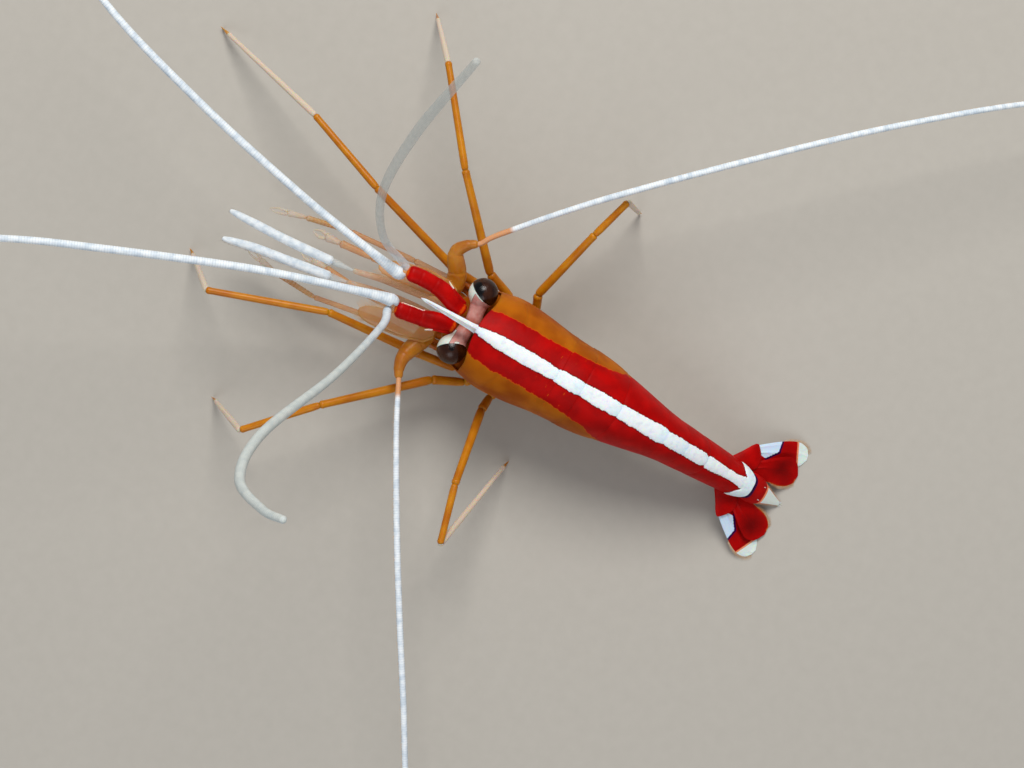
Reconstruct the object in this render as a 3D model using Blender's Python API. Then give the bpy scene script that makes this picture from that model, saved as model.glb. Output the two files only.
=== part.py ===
"""Cleaner shrimp, Lysmata amboinensis, at life size, standing on its six walking legs and tail fan.

Frame: +Z up, floor at z = 0, head towards -Y, tail towards +Y, the animal's left at +X.
Sizes and places below are millimetres in the animal's own frame, whose origin lies on the floor
under the tip of the rostrum. The empty "stance" turns them into metres and carries them to the
world, where the middle of the whole, feelers included, stands over the origin.
"""
import math

import bmesh
import bpy
from mathutils import Vector

MM = 0.001
STANCE_SHIFT = Vector((-1.55, -5.3, 0.0))

GAP = 0.25                  # air between neighbouring pieces
UP = Vector((0, 0, 1))
ARCH_SHARE = 0.8            # share of the half width under which a section's underside is arched

# Body: y along the midline, height of the back, half width, depth from the back to the belly.
BODY_STATIONS = (
    (6.9, 18.9, 5.45, 10.9),
    (8.3, 19.1, 5.90, 11.5),
    (11.2, 19.3, 6.40, 12.1),
    (14.8, 19.1, 6.20, 12.0),
    (19.2, 18.6, 5.60, 11.2),
    (22.6, 18.4, 5.35, 10.9),
    (28.0, 17.5, 4.80, 10.4),
    (34.9, 15.3, 3.55, 8.9),
    (38.1, 13.6, 3.10, 7.9),
    (41.4, 11.4, 2.85, 6.5),
    (48.5, 6.2, 2.25, 4.1),
)
CARAPACE_FRONT = 6.9
CARAPACE_REAR = 19.2
SOMITE_ENDS = (22.6, 28.0, 34.9, 38.1, 41.4, 48.5)
BODY_SIDES = 24
WAIST = 0.62                # how far down the side the body is widest, as a share of its depth
BELLY_ARCH = 0.9            # how far the underside rises between the lower edges of the shell
PLEURON_DROP = (0.7, 1.1, 0.9, 0.7, 0.6, 0.2)   # rounded lobe below each somite's side
PLEURON_FLARE = 0.12

ROSTRUM_TIP = 0.0
ROSTRUM_ROOT = 9.6
ROSTRUM_TIP_HEIGHT = 19.5
ROSTRUM_ROOT_HEIGHT = 19.0
ROSTRUM_DEPTHS = (0.5, 2.9)         # at the tip and at the root
ROSTRUM_HALF_WIDTHS = (0.26, 0.60)

EYE_RADIUS = 1.75
EYES = {"left": Vector((3.8, 6.1, 15.5)), "right": Vector((-4.7, 6.3, 15.5))}
STALK_ROOTS = {"left": Vector((0.95, 6.6, 15.0)), "right": Vector((-0.95, 6.9, 15.0))}
STALK_RADIUS = 0.8
EYE_CLEARANCE = 0.4         # room between the eye and the orbit cut into the carapace
ORBIT_FLOOR = 13.2
ORBIT_REAR = 8.2
POST_HALF_WIDTH = 0.6       # the post between the eyes
POST_FRONT = 5.7
POST_BOTTOM = 11.9
POST_TOP = 15.9
ORBIT_BLOCK = (16.0, 4.0, 25.0)     # width, front and top of the room cut above the orbit floor

HEAD_HEIGHT = 10.3
# y, half width and half height of the broad front of the head, whose middle runs at HEAD_HEIGHT.
HEAD_LINE = ((3.9, 3.3, 1.7), (5.4, 4.6, 2.5), (CARAPACE_FRONT - GAP, 5.1, 2.9))

THORAX_LINE = (5.4, 11.0, 17.0)
THORAX_HALF_WIDTH = 2.6
THORAX_FRONT_HALF_WIDTH = 1.9
THORAX_TOP = 7.3
THORAX_BOTTOM = 5.1
COXA_HEIGHT = 5.75
COXA_OUT = THORAX_HALF_WIDTH + 0.65

EYE_SIDES = 14
EYE_RINGS = 9

SHELL_RED = (0.27, 0.005, 0.004)
SHELL_AMBER = (0.42, 0.13, 0.015)
LIMB_AMBER = (0.52, 0.18, 0.02)
FEELER_WHITE = (0.80, 0.85, 0.90)
STALK_PINK = (0.55, 0.30, 0.28)
CORNEA_BROWN = (0.035, 0.015, 0.007)


# ---------------------------------------------------------------- scene, materials, small helpers

def clear_scene():
    for leftover in list(bpy.data.objects):
        bpy.data.objects.remove(leftover)


def make_material(name, colour, roughness=0.25):
    material = bpy.data.materials.new(name)
    material.use_nodes = True
    shader = material.node_tree.nodes["Principled BSDF"]
    shader.inputs["Base Color"].default_value = (*colour, 1.0)
    shader.inputs["Roughness"].default_value = roughness
    shader.inputs["Metallic"].default_value = 0.0
    material.diffuse_color = (*colour, 1.0)
    return material


clear_scene()
shrimp = bpy.data.collections.new("cleaner_shrimp")
bpy.context.scene.collection.children.link(shrimp)
stance = bpy.data.objects.new("stance", None)
stance.location = STANCE_SHIFT * MM
stance.scale = (MM, MM, MM)
shrimp.objects.link(stance)

RED = make_material("shell_red", SHELL_RED)
AMBER = make_material("shell_amber", SHELL_AMBER)
LIMB = make_material("limb_amber", LIMB_AMBER)
WHITE = make_material("feeler_white", FEELER_WHITE, 0.4)
PINK = make_material("stalk_pink", STALK_PINK)
BROWN = make_material("cornea_brown", CORNEA_BROWN, 0.08)


def add_mesh(name, mesh, material):
    """A mesh in the animal's millimetres becomes one named sub-part of the shrimp."""
    mesh.materials.clear()
    mesh.materials.append(material)
    mesh.shade_smooth()
    mesh.set_sharp_from_angle(angle=math.radians(40))
    piece = bpy.data.objects.new(name, mesh)
    piece.parent = stance
    shrimp.objects.link(piece)
    return piece


def finish_mesh(shape, name):
    bmesh.ops.recalc_face_normals(shape, faces=shape.faces)
    mesh = bpy.data.meshes.new(name)
    shape.to_mesh(mesh)
    shape.free()
    return mesh


def cut_at_floor(shape):
    """Slice off whatever lies below z = 0, which leaves a small flat to stand on."""
    everything = shape.verts[:] + shape.edges[:] + shape.faces[:]
    bmesh.ops.bisect_plane(shape, geom=everything, plane_co=(0, 0, 0), plane_no=(0, 0, 1),
                           clear_inner=True, dist=1e-5)
    bmesh.ops.holes_fill(shape, edges=[edge for edge in shape.edges if edge.is_boundary])


def mirrored(point, side):
    """A point given for the animal's left, on the side asked for."""
    return Vector((point[0] if side == "left" else -point[0], point[1], point[2]))


def smooth_route(points, samples):
    """Points evenly spread in parameter along a Catmull-Rom curve through the given ones."""
    knots = [Vector(point) for point in points]
    knots = [2 * knots[0] - knots[1]] + knots + [2 * knots[-1] - knots[-2]]
    spans = len(points) - 1
    route = []
    for index in range(samples):
        place = index * spans / (samples - 1)
        span = min(int(place), spans - 1)
        t = place - span
        a, b, c, d = knots[span:span + 4]
        route.append(0.5 * (2 * b + (c - a) * t + (2 * a - 5 * b + 4 * c - d) * t ** 2
                            + (3 * b - a - 3 * c + d) * t ** 3))
    return route


def blend(start, end, share):
    return start * (1 - share) + end * share


def spread(values, samples):
    """Values blended evenly over a number of samples."""
    result = []
    for index in range(samples):
        place = index * (len(values) - 1) / (samples - 1)
        first = min(int(place), len(values) - 2)
        result.append(blend(values[first], values[first + 1], place - first))
    return result


# ---------------------------------------------------------------- shapes

def ring(centre, side, up, half_width, rise, drop, sides, top_power=2.0, bottom_power=2.0, arch=0.0):
    """A superellipse ring: half_width across, rise above and drop below its centre.

    The underside rises by arch in the middle, between the lower corners.
    """
    points = []
    for index in range(sides):
        angle = 2 * math.pi * (index + 0.5) / sides
        across = math.cos(angle)
        along = math.sin(angle)
        power = top_power if along > 0 else bottom_power
        reach = rise if along > 0 else drop
        x = math.copysign(abs(across) ** (2 / power), across)
        z = math.copysign(abs(along) ** (2 / power), along)
        hollow = arch * max(0.0, 1 - (x / ARCH_SHARE) ** 2) if z < 0 else 0.0
        points.append(centre + side * half_width * x + up * (reach * z + hollow))
    return points


def loft(rings):
    """A closed body through rings with the same number of points."""
    shape = bmesh.new()
    loops = [[shape.verts.new(point) for point in points] for points in rings]
    for first, second in zip(loops, loops[1:]):
        for index in range(len(first)):
            following = (index + 1) % len(first)
            shape.faces.new((first[index], first[following], second[following], second[index]))
    shape.faces.new(loops[0])
    shape.faces.new(loops[-1])
    return shape


def sweep_rings(route, half_widths, half_heights, up, sides, power):
    rings = []
    for index, point in enumerate(route):
        before = route[max(index - 1, 0)]
        after = route[min(index + 1, len(route) - 1)]
        tangent = (after - before).normalized()
        side = tangent.cross(up).normalized()
        rings.append(ring(point, side, side.cross(tangent), half_widths[index],
                          half_heights[index], half_heights[index], sides, power, power))
    return rings


def add_blade(name, points, half_widths, half_heights, material, up=UP, samples=7, sides=10, power=2.0):
    """A flattened limb or plate swept along a smooth line, cut flat where it meets the floor."""
    route = smooth_route(points, samples)
    rings = sweep_rings(route, spread(half_widths, samples), spread(half_heights, samples),
                        Vector(up), sides, power)
    shape = loft(rings)
    if min(vertex.co.z for vertex in shape.verts) < 0:
        cut_at_floor(shape)
    return add_mesh(name, finish_mesh(shape, name), material)


def add_tube(name, route, radii, material):
    """A round tube with its own radius at each point, cut flat where it meets the floor."""
    data = bpy.data.curves.new(name, "CURVE")
    data.dimensions = "3D"
    data.bevel_depth = 1.0
    data.bevel_resolution = 2
    data.use_fill_caps = True
    spline = data.splines.new("POLY")
    spline.points.add(len(route) - 1)
    for target, point, radius in zip(spline.points, route, radii):
        target.co = (*point, 1.0)
        target.radius = radius
    curve = bpy.data.objects.new(name + "_curve", data)
    shrimp.objects.link(curve)
    bpy.context.view_layer.update()
    mesh = bpy.data.meshes.new_from_object(curve.evaluated_get(bpy.context.evaluated_depsgraph_get()))
    bpy.data.objects.remove(curve)
    shape = bmesh.new()
    shape.from_mesh(mesh)
    bpy.data.meshes.remove(mesh)
    bmesh.ops.remove_doubles(shape, verts=shape.verts, dist=1e-4)
    if min(vertex.co.z for vertex in shape.verts) < 0:
        cut_at_floor(shape)
    return add_mesh(name, finish_mesh(shape, name), material)


def combine(name, base, others, operation, material):
    """A body joined with others, or cut by them, becomes one mesh of its own name."""
    for other in others:
        modifier = base.modifiers.new(operation.lower(), "BOOLEAN")
        modifier.operation = operation
        modifier.solver = "EXACT"
        modifier.object = other
    bpy.context.view_layer.update()
    mesh = bpy.data.meshes.new_from_object(base.evaluated_get(bpy.context.evaluated_depsgraph_get()))
    for used in (base, *others):
        bpy.data.objects.remove(used)
    return add_mesh(name, mesh, material)


# ---------------------------------------------------------------- body line

def body_values(y):
    """Height of the back, half width and depth of the body at y, from a cubic through the stations."""
    rows = BODY_STATIONS
    first = 0
    while first < len(rows) - 2 and y > rows[first + 1][0]:
        first += 1
    before = rows[max(first - 1, 0)]
    low = rows[first]
    high = rows[first + 1]
    after = rows[min(first + 2, len(rows) - 1)]
    span = high[0] - low[0]
    t = (y - low[0]) / span
    values = []
    for column in (1, 2, 3):
        slope_low = (high[column] - before[column]) / (high[0] - before[0])
        slope_high = (after[column] - low[column]) / (after[0] - low[0])
        values.append(
            low[column] * (2 * t ** 3 - 3 * t ** 2 + 1) + high[column] * (3 * t ** 2 - 2 * t ** 3)
            + span * slope_low * (t ** 3 - 2 * t ** 2 + t) + span * slope_high * (t ** 3 - t ** 2))
    return values


def body_ring(y, level=1.0, lobe=0.0, flare=0.0):
    """The body's section at y: it leans with the back by the share level, over an arched belly.

    lobe lowers the sides, as the pleura do, and flare widens them.
    """
    back, half_width, depth = body_values(y)
    step = 0.3
    slope = (body_values(y + step)[0] - body_values(y - step)[0]) / (2 * step) * level
    tangent = Vector((0, 1, slope)).normalized()
    up = Vector((1, 0, 0)).cross(tangent)
    waist = Vector((0, y, back)) - up * depth * WAIST
    return ring(waist, Vector((1, 0, 0)), up, half_width + flare, depth * WAIST,
                depth * (1 - WAIST) + lobe, BODY_SIDES, 2.15, 3.2, BELLY_ARCH + lobe)


def body_lean(y):
    """The sections stand upright under the head and lean with the back along the abdomen."""
    return min(max((y - CARAPACE_REAR) / (SOMITE_ENDS[1] - CARAPACE_REAR), 0.0), 1.0)


def add_body_segment(name, start, end, sections, material, lobe=0.0, flare=0.0):
    rings = []
    for index in range(sections):
        share = index / (sections - 1)
        y = start + (end - start) * share
        bulge = math.sin(math.pi * share)
        rings.append(body_ring(y, body_lean(y), lobe * bulge, flare * bulge))
    return add_mesh(name, finish_mesh(loft(rings), name), material)


def ball(centre, radius, pole=UP):
    shape = bmesh.new()
    bmesh.ops.create_uvsphere(shape, u_segments=EYE_SIDES, v_segments=EYE_RINGS, radius=radius)
    turn = pole.to_track_quat("Z", "Y").to_matrix().to_4x4()
    turn.translation = centre
    shape.transform(turn)
    return shape


def block(low, high):
    shape = bmesh.new()
    bmesh.ops.create_cube(shape, size=1.0)
    size = Vector(high) - Vector(low)
    bmesh.ops.scale(shape, verts=shape.verts, vec=size)
    bmesh.ops.translate(shape, verts=shape.verts, vec=(Vector(low) + Vector(high)) / 2)
    return shape


def orbit_cutters():
    """Room in the front of the carapace for both eyes and the post between them."""
    width, front, top = ORBIT_BLOCK
    shapes = [block((-width / 2, front, ORBIT_FLOOR), (width / 2, ORBIT_REAR, top))]
    shapes += [ball(centre, EYE_RADIUS + EYE_CLEARANCE) for centre in EYES.values()]
    return [add_mesh("orbit_cutter", finish_mesh(shape, "orbit_cutter"), RED) for shape in shapes]


def add_carapace():
    shell = add_body_segment("carapace_shell", CARAPACE_FRONT, CARAPACE_REAR, 9, RED)
    rings = []
    for share in (0.0, 0.3, 0.6, 0.85, 1.0):
        y = blend(ROSTRUM_TIP, ROSTRUM_ROOT, share)
        top = blend(ROSTRUM_TIP_HEIGHT, ROSTRUM_ROOT_HEIGHT, share)
        depth = blend(*ROSTRUM_DEPTHS, share)
        half_width = blend(*ROSTRUM_HALF_WIDTHS, share)
        rings.append(ring(Vector((0, y, top - depth / 2)), Vector((1, 0, 0)), UP,
                          half_width, depth / 2, depth / 2, 8))
    blade = add_mesh("rostrum_blade", finish_mesh(loft(rings), "rostrum_blade"), RED)
    hood = combine("carapace_hood", shell, orbit_cutters(), "DIFFERENCE", RED)
    combine("carapace", hood, [blade], "UNION", RED)


def add_abdomen():
    start = CARAPACE_REAR + GAP
    for number, end in enumerate(SOMITE_ENDS, start=1):
        add_body_segment(f"abdomen_{number}", start, end - GAP, 5, RED, PLEURON_DROP[number - 1],
                         PLEURON_FLARE)
        start = end


def add_thorax():
    """The breastplate between the legs, under the carapace."""
    middle = (THORAX_TOP + THORAX_BOTTOM) / 2
    half_height = (THORAX_TOP - THORAX_BOTTOM) / 2
    add_blade("thorax", [(0, y, middle) for y in THORAX_LINE],
              [THORAX_FRONT_HALF_WIDTH, THORAX_HALF_WIDTH, THORAX_HALF_WIDTH], [half_height] * 2, AMBER,
              samples=4, sides=12, power=4.0)


def add_head():
    """The front of the head: a broad part that bears the antennae, a post that bears the eyes."""
    rows, half_widths, half_heights = zip(*HEAD_LINE)
    broad = add_blade("head_broad", [(0, y, HEAD_HEIGHT) for y in rows], half_widths, half_heights, AMBER,
                      samples=4, sides=14, power=2.6)
    stem = block((-POST_HALF_WIDTH, POST_FRONT, POST_BOTTOM), (POST_HALF_WIDTH, rows[-1], POST_TOP))
    neck = block((-POST_HALF_WIDTH, POST_FRONT + GAP, ORBIT_FLOOR + GAP),
                 (POST_HALF_WIDTH, ORBIT_REAR - GAP, POST_TOP))
    posts = [add_mesh("head_post", finish_mesh(shape, "head_post"), AMBER) for shape in (stem, neck)]
    combine("head", broad, posts, "UNION", AMBER)


# ---------------------------------------------------------------- head

def add_eye(side):
    centre = EYES[side]
    root = STALK_ROOTS[side]
    direction = (centre - root).normalized()
    stalk_end = centre - direction * (EYE_RADIUS + GAP)
    add_blade(f"eyestalk_{side}", [root, stalk_end], [STALK_RADIUS, STALK_RADIUS],
              [STALK_RADIUS, STALK_RADIUS], PINK, samples=2, sides=10)
    add_mesh(f"eye_{side}", finish_mesh(ball(centre, EYE_RADIUS, direction), "eye"), BROWN)


ANTENNULE_PEDUNCLES = {
    "left": [(1.15, 5.4, 14.9), (1.3, 3.5, 15.4), (2.0, 1.4, 16.0), (2.4, -0.7, 16.7), (2.7, -2.4, 17.3)],
    "right": [(-1.3, 5.4, 14.9), (-1.5, 3.6, 15.4), (-2.2, 1.6, 16.0), (-2.3, -1.0, 16.8),
              (-2.0, -3.3, 17.4)],
}
ANTENNULES_INNER = {
    "left": [(2.05, -3.35, 17.8), (3.4, -8.2, 19.4), (7.2, -19.6, 22.8), (13.9, -35.7, 27.4),
             (18.6, -46.0, 29.6), (25.8, -58.5, 30.4)],
    "right": [(-1.35, -4.2, 17.9), (-1.95, -8.4, 19.6), (-3.7, -18.9, 22.6), (-7.1, -34.0, 26.8),
              (-11.8, -49.1, 30.2), (-19.3, -63.2, 31.5)],
}
ANTENNULES_OUTER = {
    "left": [(3.45, -3.0, 17.5), (5.6, -2.5, 20.0), (13.1, -3.6, 31.0), (21.7, -5.9, 47.0),
             (26.0, -4.6, 57.0), (26.7, -0.4, 64.5), (26.1, 2.4, 68.0)],
    "right": [(-2.7, -4.1, 17.7), (-4.1, -7.3, 24.5), (-8.0, -8.6, 37.0), (-14.2, -6.7, 54.0),
              (-21.7, -3.2, 70.0)],
}
ANTENNA_PEDUNCLES = {
    "left": [(2.6, 2.5, 10.7), (4.6, 2.1, 11.7), (7.2, 1.3, 12.6), (8.9, 1.5, 13.1), (10.3, 2.2, 13.5)],
    "right": [(-2.6, 2.5, 10.7), (-5.0, 2.0, 11.7), (-7.2, 0.6, 12.6), (-8.6, 1.2, 13.1),
              (-9.7, 2.6, 13.5)],
}
ANTENNAE = {
    "left": [(10.6, 2.4, 13.6), (17.0, 5.8, 15.0), (29.9, 13.4, 16.4), (44.9, 22.7, 15.6),
             (59.3, 31.7, 13.2), (74.9, 44.8, 9.2)],
    "right": [(-9.95, 2.9, 13.6), (-12.3, 4.6, 14.2), (-21.7, 13.2, 16.0), (-35.2, 27.0, 17.2),
              (-48.4, 41.2, 16.5), (-60.9, 56.4, 14.2), (-71.9, 73.8, 10.0)],
}
ANTENNAL_SCALES = {
    "left": [(3.1, 3.4, 13.5), (4.2, -1.5, 14.1), (5.2, -6.5, 14.6)],
    "right": [(-2.6, 3.2, 13.5), (-2.0, -2.0, 14.2), (-1.0, -7.0, 14.8)],
}


# Radii from root to tip, and the number of points that each feeler is drawn through.
FEELERS = {
    "antennule_peduncle": (ANTENNULE_PEDUNCLES, (0.78, 1.0, 1.08, 1.0, 0.95), 9, RED),
    "antennule_inner": (ANTENNULES_INNER, (0.62, 0.5, 0.5, 0.48, 0.42, 0.26), 18, WHITE),
    "antennule_outer": (ANTENNULES_OUTER, (0.5, 0.55, 0.6, 0.6, 0.45), 20, WHITE),
    "antenna_peduncle": (ANTENNA_PEDUNCLES, (1.25, 1.2, 0.95, 0.6, 0.4), 9, AMBER),
    "antenna": (ANTENNAE, (0.28, 0.42, 0.42, 0.4, 0.35, 0.26), 22, WHITE),
}
SCALE_HALF_WIDTHS = (1.1, 1.5, 1.5, 0.5)
SCALE_HALF_HEIGHTS = (0.32, 0.3, 0.27)
SCALE_LEAN = (0.35, 0.1, 1.0)       # the way a left antennal scale's upper face looks


def add_antennae(side):
    for name, (routes, radii, samples, material) in FEELERS.items():
        add_tube(f"{name}_{side}", smooth_route(routes[side], samples), spread(radii, samples), material)
    add_blade(f"antennal_scale_{side}", ANTENNAL_SCALES[side], SCALE_HALF_WIDTHS, SCALE_HALF_HEIGHTS,
              AMBER, up=mirrored(SCALE_LEAN, side), samples=6, sides=8)


# ---------------------------------------------------------------- limbs

MAXILLIPEDS = {
    "left": [(1.2, 3.6, 7.0), (1.3, -0.8, 8.4), (1.9, -5.5, 10.2), (2.7, -9.4, 11.2), (3.2, -11.9, 11.4),
             (4.1, -17.5, 11.2), (4.8, -22.3, 10.6), (5.8, -26.7, 10.0)],
    "right": [(-1.2, 3.6, 7.0), (-0.6, -1.0, 8.4), (0.1, -5.6, 10.2), (1.0, -9.3, 11.2), (1.4, -12.6, 11.4),
              (1.9, -18.6, 11.2), (2.1, -23.8, 10.6), (2.2, -27.6, 10.0)],
}
MAXILLIPED_RADII = [0.6, 0.6, 0.55, 0.45, 0.55, 0.58, 0.48, 0.26]

# Each leg: coxa at the breastplate, basis, ischium, merus, carpus, end of the hand, tip of the claw.
LEGS = {
    ("left", 1): [(2.7, 6.1, COXA_HEIGHT), (2.5, 3.0, 5.9), (2.8, -2.5, 6.9), (2.9, -9.0, 7.4),
                  (2.6, -13.5, 7.2), (2.3, -17.5, 6.6)],
    ("right", 1): [(-2.7, 6.1, COXA_HEIGHT), (-2.5, 3.0, 5.9), (-2.2, -2.5, 6.8), (-1.6, -9.0, 7.4),
                   (-1.2, -13.5, 7.2), (-0.9, -17.5, 6.6)],
    ("left", 2): [(3.2, 8.4, COXA_HEIGHT), (4.5, 3.6, 5.6), (5.0, -4.0, 6.4), (6.6, -13.0, 7.4),
                  (6.3, -19.0, 7.0), (5.4, -24.0, 5.8)],
    ("right", 2): [(-3.2, 8.4, COXA_HEIGHT), (-4.4, 3.7, 5.6), (-4.0, -4.0, 6.4), (-3.2, -13.0, 7.4),
                   (-1.9, -19.0, 7.0), (-0.6, -24.0, 5.8)],
    ("left", 3): [(COXA_OUT, 10.5, COXA_HEIGHT), (5.6, 7.4, 5.9), (6.3, 2.0, 7.4), (7.3, -9.9, 12.0),
                  (12.5, -24.6, 13.2), (9.7, -30.5, 1.5), (9.3, -31.3, -0.4)],
    ("right", 3): [(-COXA_OUT, 10.5, COXA_HEIGHT), (-5.3, 7.2, 5.9), (-5.5, 1.4, 7.9), (-9.5, -12.3, 12.6),
                   (-13.7, -23.8, 12.2), (-18.2, -40.9, 1.5), (-18.6, -42.4, -0.4)],
    ("left", 4): [(COXA_OUT, 12.6, COXA_HEIGHT), (6.6, 9.4, 5.8), (8.4, 5.6, 7.6), (18.1, -4.9, 13.2),
                  (25.9, -12.2, 12.6), (25.2, -18.2, 1.5), (25.1, -18.9, -0.4)],
    ("right", 4): [(-COXA_OUT, 12.6, COXA_HEIGHT), (-6.1, 9.2, 5.8), (-7.3, 5.5, 8.1), (-17.0, -3.6, 13.2),
                   (-27.9, -12.3, 12.6), (-33.7, -17.6, 1.5), (-34.3, -18.2, -0.4)],
    ("left", 5): [(COXA_OUT, 14.7, COXA_HEIGHT), (6.6, 13.3, 5.8), (8.6, 13.2, 7.4), (18.3, 15.0, 14.2),
                  (25.7, 17.1, 15.3), (13.8, 19.5, 1.5), (13.0, 19.7, -0.4)],
    ("right", 5): [(-COXA_OUT, 14.7, COXA_HEIGHT), (-6.0, 13.1, 5.8), (-8.1, 12.2, 7.6),
                   (-18.0, 14.8, 13.0), (-23.5, 16.4, 14.4), (-24.5, 18.4, 1.5), (-24.6, 18.6, -0.4)],
}
CLAW_LEG_RADII = [0.55, 0.5, 0.5, 0.42, 0.5, 0.26]
LONG_CLAW_LEG_RADII = [0.5, 0.42, 0.4, 0.32, 0.36, 0.26]
WALKING_LEG_RADII = [0.68, 0.55, 0.58, 0.48, 0.42, 0.28, 0.26]
JOINT_INSET = 0.9           # length of the turn at a leg's joint


def leg_route(points, radii):
    """Straight limbs with a short turn at each joint: every inner joint becomes two points."""
    route = [Vector(points[0])]
    widths = [radii[0]]
    for index in range(1, len(points) - 1):
        before, here, after = (Vector(points[index + step]) for step in (-1, 0, 1))
        route.append(here + (before - here).normalized() * JOINT_INSET / 2)
        route.append(here + (after - here).normalized() * JOINT_INSET / 2)
        widths.extend([radii[index], radii[index]])
    route.append(Vector(points[-1]))
    widths.append(radii[-1])
    return route, widths


def add_limbs(side):
    route = smooth_route(MAXILLIPEDS[side], 13)
    add_tube(f"maxilliped_{side}", route, spread(MAXILLIPED_RADII, 13), LIMB)
    for number in range(1, 6):
        radii = {1: CLAW_LEG_RADII, 2: LONG_CLAW_LEG_RADII}.get(number, WALKING_LEG_RADII)
        route, widths = leg_route(LEGS[side, number], radii)
        add_tube(f"leg_{number}_{side}", route, widths, LIMB)


PLEOPOD_OUT = (2.7, 2.6, 2.0, 1.7, 1.55)
PLEOPOD_LENGTH = (4.4, 4.6, 4.4, 3.8, 3.3)
PLEOPOD_SWEEPS = (0.55, 0.65, 0.75, 0.85, 0.95)   # how far back each leans, per length
PLEOPOD_ROOM = 0.35         # from the belly to the root's middle line
PLEOPOD_HALF_WIDTHS = (0.5, 0.95, 0.35)
PLEOPOD_HALF_THICKNESS = (0.34, 0.3, 0.27)
PLEOPOD_FACE = (0.25, 1.0, 0.4)     # the way a leaf's broad side looks


def add_pleopods(side):
    """Five swimmerets a side, each a leaf that hangs under its somite and sweeps back."""
    starts = (CARAPACE_REAR,) + SOMITE_ENDS[:4]
    for index, (start, end) in enumerate(zip(starts, SOMITE_ENDS)):
        y = (start + end) / 2
        out = PLEOPOD_OUT[index]
        length = PLEOPOD_LENGTH[index]
        sweep = PLEOPOD_SWEEPS[index] * length
        section = body_ring(y, body_lean(y), PLEURON_DROP[index])
        belly = [point for point in section if abs(point.x) < out + 1]
        root = min(belly, key=lambda point: point.z)
        top = mirrored((out, root.y, root.z - PLEOPOD_ROOM), side)
        middle = top + mirrored((0.15, 0.5 * sweep, -0.5 * length), side)
        tip = top + mirrored((0.2, 1.1 * sweep, -0.85 * length), side)
        add_blade(f"pleopod_{index + 1}_{side}", [top, middle, tip], PLEOPOD_HALF_WIDTHS,
                  PLEOPOD_HALF_THICKNESS, LIMB, up=PLEOPOD_FACE, samples=5, sides=8)


# ---------------------------------------------------------------- tail fan

TELSON = ((0, 48.4, 4.95), (0, 51.3, 2.5), (0, 54.0, 0.05))
TELSON_HALF_WIDTHS = (1.9, 1.7, 1.2, 0.5)
TELSON_HALF_HEIGHTS = (0.75, 0.5, 0.34)

# The left blades of the tail fan: line from root to tip, half widths, half thicknesses, samples.
UROPODS = {
    "outer": (((2.95, 45.7, 3.7), (4.5, 47.8, 3.1), (6.1, 50.8, 1.7), (7.4, 54.6, 0.1)),
              (0.75, 1.3, 1.6, 1.6, 1.1), (0.5, 0.4, 0.3, 0.27), 8),
    "inner": (((1.2, 48.1, 3.1), (2.5, 50.1, 2.2), (3.2, 52.2, 1.3), (3.9, 54.9, 0.1)),
              (0.6, 1.4, 1.6, 1.45, 0.9), (0.35, 0.3, 0.27), 7),
}
UROPOD_LEAN = (0.1, 0.35, 1.0)      # the way a left blade's upper face looks


def add_tail_fan():
    add_blade("telson", TELSON, TELSON_HALF_WIDTHS, TELSON_HALF_HEIGHTS, RED, samples=6, power=2.4)
    for side in ("left", "right"):
        for name, (line, half_widths, half_heights, samples) in UROPODS.items():
            add_blade(f"uropod_{name}_{side}", [mirrored(point, side) for point in line], half_widths,
                      half_heights, RED, up=mirrored(UROPOD_LEAN, side), samples=samples, power=2.4)


# ---------------------------------------------------------------- assembly

add_carapace()
add_abdomen()
add_thorax()
add_head()
for body_side in ("left", "right"):
    add_eye(body_side)
    add_antennae(body_side)
    add_limbs(body_side)
    add_pleopods(body_side)
add_tail_fan()
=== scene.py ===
"""The looks of the cleaner shrimp: shell, eyes, feelers, limbs, tail fan and bristles over the solids.

Sizes and places are millimetres in the animal's own frame, which part.py uses too: the origin lies on
the floor under the tip of the rostrum, the head looks along -Y, +X is the animal's left. SHIFT, worked
out from the frame, carries them to the world.
"""
import math
import random

import bmesh
import bpy
import numpy as np
from mathutils import Matrix, Vector, noise


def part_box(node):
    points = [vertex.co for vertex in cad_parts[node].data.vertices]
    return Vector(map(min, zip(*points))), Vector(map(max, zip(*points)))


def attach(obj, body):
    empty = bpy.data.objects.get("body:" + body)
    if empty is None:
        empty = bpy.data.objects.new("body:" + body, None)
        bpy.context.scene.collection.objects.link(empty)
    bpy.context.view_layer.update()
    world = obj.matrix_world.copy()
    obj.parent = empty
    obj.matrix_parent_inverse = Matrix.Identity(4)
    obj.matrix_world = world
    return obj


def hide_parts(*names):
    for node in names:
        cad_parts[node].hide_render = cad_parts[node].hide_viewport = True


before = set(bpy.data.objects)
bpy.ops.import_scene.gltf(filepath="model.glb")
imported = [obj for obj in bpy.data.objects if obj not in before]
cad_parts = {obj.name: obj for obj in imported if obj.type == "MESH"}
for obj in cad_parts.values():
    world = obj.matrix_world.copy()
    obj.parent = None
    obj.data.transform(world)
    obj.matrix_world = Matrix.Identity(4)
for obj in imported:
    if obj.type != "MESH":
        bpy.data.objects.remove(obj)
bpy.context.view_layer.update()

MM = 0.001
SIDES = ("left", "right")
SOLID_EYE = Vector((3.8, 6.1, 15.5))         # the middle of the solid left eye
EYE_LOW, EYE_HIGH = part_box("eye_left")
SHIFT = (EYE_LOW + EYE_HIGH) / (2 * MM) - SOLID_EYE
SHIFT.z = 0.0
random.seed(7)


# ---------------------------------------------------------------- camera, floor and light

CAMERA_PLACE = Vector((3.7, 15.0, 246.0))
CAMERA_LENS = 64.5
IMAGE_RIGHT = Vector((-0.494, 0.869, 0.0))
IMAGE_UP = Vector((-0.869, -0.494, 0.0))


def to_world(point):
    return (Vector(point) + SHIFT) * MM


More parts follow.
